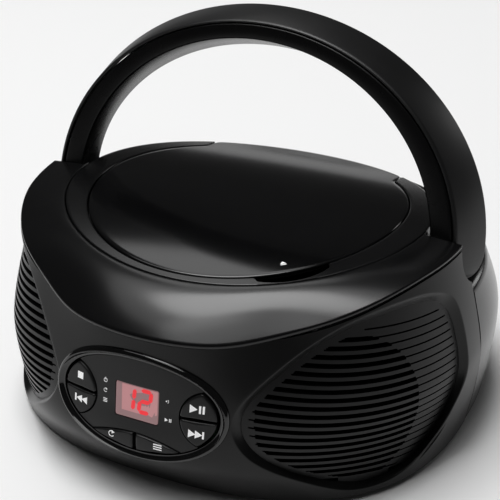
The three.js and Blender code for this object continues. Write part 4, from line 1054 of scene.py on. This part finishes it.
def ring_mark(x, z, r, w, start, end):
    outer, inner = arc(x, z, r + w / 2, start, end, 20), arc(x, z, r - w / 2, start, end, 20)
    return [[outer[k], outer[k + 1], inner[k + 1], inner[k]] for k in range(19)]


def open_mark():
    """Generic eject symbol beside the finger notch."""
    angle = math.radians(40)

    def place(u, v, lift):
        x = 43.4 + u * math.cos(angle) - v * math.sin(angle)
        y = -53.2 + u * math.sin(angle) + v * math.cos(angle)
        dome = np.maximum(0, 1 - (x * x + y * y) / LID_RADIUS**2)
        return np.stack([x, y, crown_z(y) + dome + lift], -1)

    marks = [[(-1.3, 0.1), (1.3, 0.1), (0, 1.6)], box_mark(0, -0.6, 2.6, 0.5)]
    decal("mark_open", marks, 0.1, PRINT_GLOW, "lid", place=place)


# ---------------------------------------------------------------- rear fittings
def battery_door():
    half = 47.5
    left, right = [-half, -half + 0.1, -half + 0.5], [half - 0.5, half - 0.1, half]
    x = np.concatenate([left, np.linspace(-half + 1.5, half - 1.5, 49), right])
    edge = np.array([1.6, 0.45, 0.1] + [0] * 49 + [0.1, 0.45, 1.6])
    z = np.concatenate([[16.5, 16.6, 17.0], np.linspace(18, 58, 25), [59.0, 59.4, 59.5]])
    sink = np.array([1.6, 0.45, 0.1] + [0] * 25 + [0.1, 0.45, 1.6])
    X, Z = np.meshgrid(x, z)
    phi = 180 - np.degrees(np.arcsin(X / SHELF_SECTION[0]))
    for _ in range(6):
        phi = 180 - np.degrees(np.arcsin(X / rear_radius(phi, Z)))
    rib = 0.35 * (smooth(50, 51, Z) * (1 - smooth(56, 57, Z))) * (np.abs(X) < 14) * (np.sin(Z * 4.2) > 0)
    depth = np.maximum(np.broadcast_to(edge, X.shape), np.broadcast_to(sink[:, None], X.shape)) + rib
    grid("battery_cover", polar(phi, rear_radius(phi, Z) - depth, Z), SATIN, "battery_door",
         replaces=("battery_door",), sharp=40)


def turned_fitting(name, place, profile, material, body, count, flutes, **keep):
    """Turned piece: profile holds (radius, depth, height of the flutes)."""
    rows = []
    for radius, y, flute in profile:
        t = np.linspace(0, 2 * math.pi, count + 1)[:-1]
        r = radius + flute * np.cos(t * flutes)
        rows.append(place(np.stack([r * np.cos(t), y + 0 * t, r * np.sin(t)], -1)))
    return grid(name, np.array(rows), material, body, wrap=True, caps=True, **keep)


def volume_control():
    knob = ((7.6, -3.1, 0), (8.2, -3.8, 0), (8.9, -4.0, 0), (9.5, -3.7, 0.1), (9.75, -3.0, 0.22),
            (9.75, 0.8, 0.22), (3, 1, 0), (3, 12, 0))
    turned_fitting("volume_dial", KNOB, knob, SATIN, "volume_knob", count=192, flutes=36,
                   replaces=("volume_knob",))
    pointer = [[(-0.45, 3.4), (0.45, 3.4), (0.45, 8.1), (-0.45, 8.1)]]

    def face(u, v, lift):
        return KNOB(np.stack([u, -3.1 - lift + 0 * u, v], -1))

    decal("volume_pointer", pointer, 0.12, PRINT_GLOW, "volume_knob", place=face)
    reach_r = 13.6
    turns = np.radians(np.arange(-50, 231, 28))
    dial = [arc(reach_r * math.cos(a), reach_r * math.sin(a), 0.35, 0, 324, 10) for a in turns]

    def wall(u, v, lift):
        return KNOB(np.stack([u, 0.35 * np.abs(u / reach_r) ** 2 - lift, v], -1))

    decal("volume_scale", dial, 0.25, PRINT_GLOW, "cabinet", place=wall, depth=0.6)


# ---------------------------------------------------------------- looks of the CAD pieces that stay
LOOKS = {
    DARK: ("cd_deck", "handle_pivot_right", "handle_pivot_left", "lid_catch", "spindle_hub",
           "mech_chassis", "laser_sled", "battery_tray", "power_inlet", "aux_socket",
           "display_module", "function_switch"),
    SATIN: ("base_plate",),
    RUBBER: ("foot_front_right", "foot_front_left", "foot_rear_right", "foot_rear_left",
             "antenna_grommet"),
    STEEL: ("base_screw_front_right", "base_screw_front_left", "base_screw_rear_right",
            "base_screw_rear_left", "lid_hinge_pin_right", "lid_hinge_pin_left", "spindle_motor",
            "sled_rail_front", "sled_rail_rear", "speaker_basket_right", "speaker_basket_left",
            "transformer", "speaker_magnet_right", "speaker_magnet_left"),
    PAPER: ("speaker_cone_right", "speaker_cone_left"),
    BOARD: ("key_board", "main_board"),
    LENS: ("laser_lens",),
}


def dress_cad():
    for material, names in LOOKS.items():
        for name in names:
            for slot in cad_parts[name].material_slots:
                slot.material = material


# ---------------------------------------------------------------- camera, floor and light
def camera():
    data = bpy.data.cameras.new("camera")
    data.lens = 97.99
    data.sensor_width = 36
    data.clip_start = 0.01
    view = bpy.data.objects.new("camera", data)
    bpy.context.scene.collection.objects.link(view)
    place, target = Vector((0.2648, -0.5110, 0.3866)), Vector((-0.00675, 0.01296, 0.0616))
    aim = (target - place).to_track_quat("-Z", "Y").to_matrix().to_4x4()
    view.matrix_world = Matrix.Translation(place) @ aim @ Matrix.Rotation(math.radians(CAMERA_ROLL), 4, "Z")
    bpy.context.scene.camera = view


def softbox(name, azimuth, elevation, distance, size, brightness, shape="RECTANGLE"):
    """Even area light: the azimuth counts from the front, and lengths are in metres."""
    az, el = math.radians(azimuth), math.radians(elevation)
    aim = Vector((0, 0, 0.08))
    towards = Vector((math.sin(az) * math.cos(el), -math.cos(az) * math.cos(el), math.sin(el)))
    place = aim + distance * towards
    data = bpy.data.lights.new(name, "AREA")
    data.shape = shape
    data.size, data.size_y = size
    share = math.pi / 4 if shape == "ELLIPSE" else 1
    data.energy = brightness * math.pi * size[0] * size[1] * share
    light = bpy.data.objects.new(name, data)
    bpy.context.scene.collection.objects.link(light)
    turn = (aim - place).to_track_quat("-Z", "Y").to_matrix().to_4x4()
    light.matrix_world = Matrix.Translation(place) @ turn


def studio():
    floor = bpy.data.meshes.new("floor")
    floor.from_pydata([(-6, -6, 0), (6, -6, 0), (6, 6, 0), (-6, 6, 0)], [], [(0, 1, 2, 3)])
    ground = bpy.data.objects.new("floor", floor)
    bpy.context.scene.collection.objects.link(ground)
    look = bpy.data.materials.new("floor_white")
    look.use_nodes = True
    shader = look.node_tree.nodes["Principled BSDF"]
    shader.inputs["Base Color"].default_value = (0.86, 0.86, 0.86, 1)
    shader.inputs["Roughness"].default_value = 0.9
    floor.materials.append(look)
    world = bpy.data.worlds.new("studio")
    bpy.context.scene.world = world
    world.use_nodes = True
    back = world.node_tree.nodes["Background"]
    back.inputs["Color"].default_value = (1, 1, 1, 1)
    back.inputs["Strength"].default_value = 0.04
    softbox("key", 256, 78, 2.6, (1.5, 1.4), 8, "ELLIPSE")
    softbox("halo", 262, 75, 2.7, (2.6, 2.4), 1.8, "ELLIPSE")
    softbox("front_top", 352, 66, 2.6, (1.5, 1.0), 3, "ELLIPSE")
    softbox("rear_left", 213, 47, 2.6, (0.7, 0.7), 2.2)
    softbox("horizon", 205, 3, 2.6, (1.3, 0.25), 0.6)
    softbox("rim_right", 150, 14, 1.5, (0.22, 0.4), 4.5)
    bpy.context.scene.view_settings.view_transform = "Standard"


camera()
front_shell()
rear_shell()
top_shell()
lid_ring()
lid()
handle()
grille(1, "speaker_grille_right")
grille(-1, "speaker_grille_left")
bezel()
buttons()
panel()
display()
key_marks()
plate_marks()
open_mark()
battery_door()
volume_control()
dress_cad()
studio()
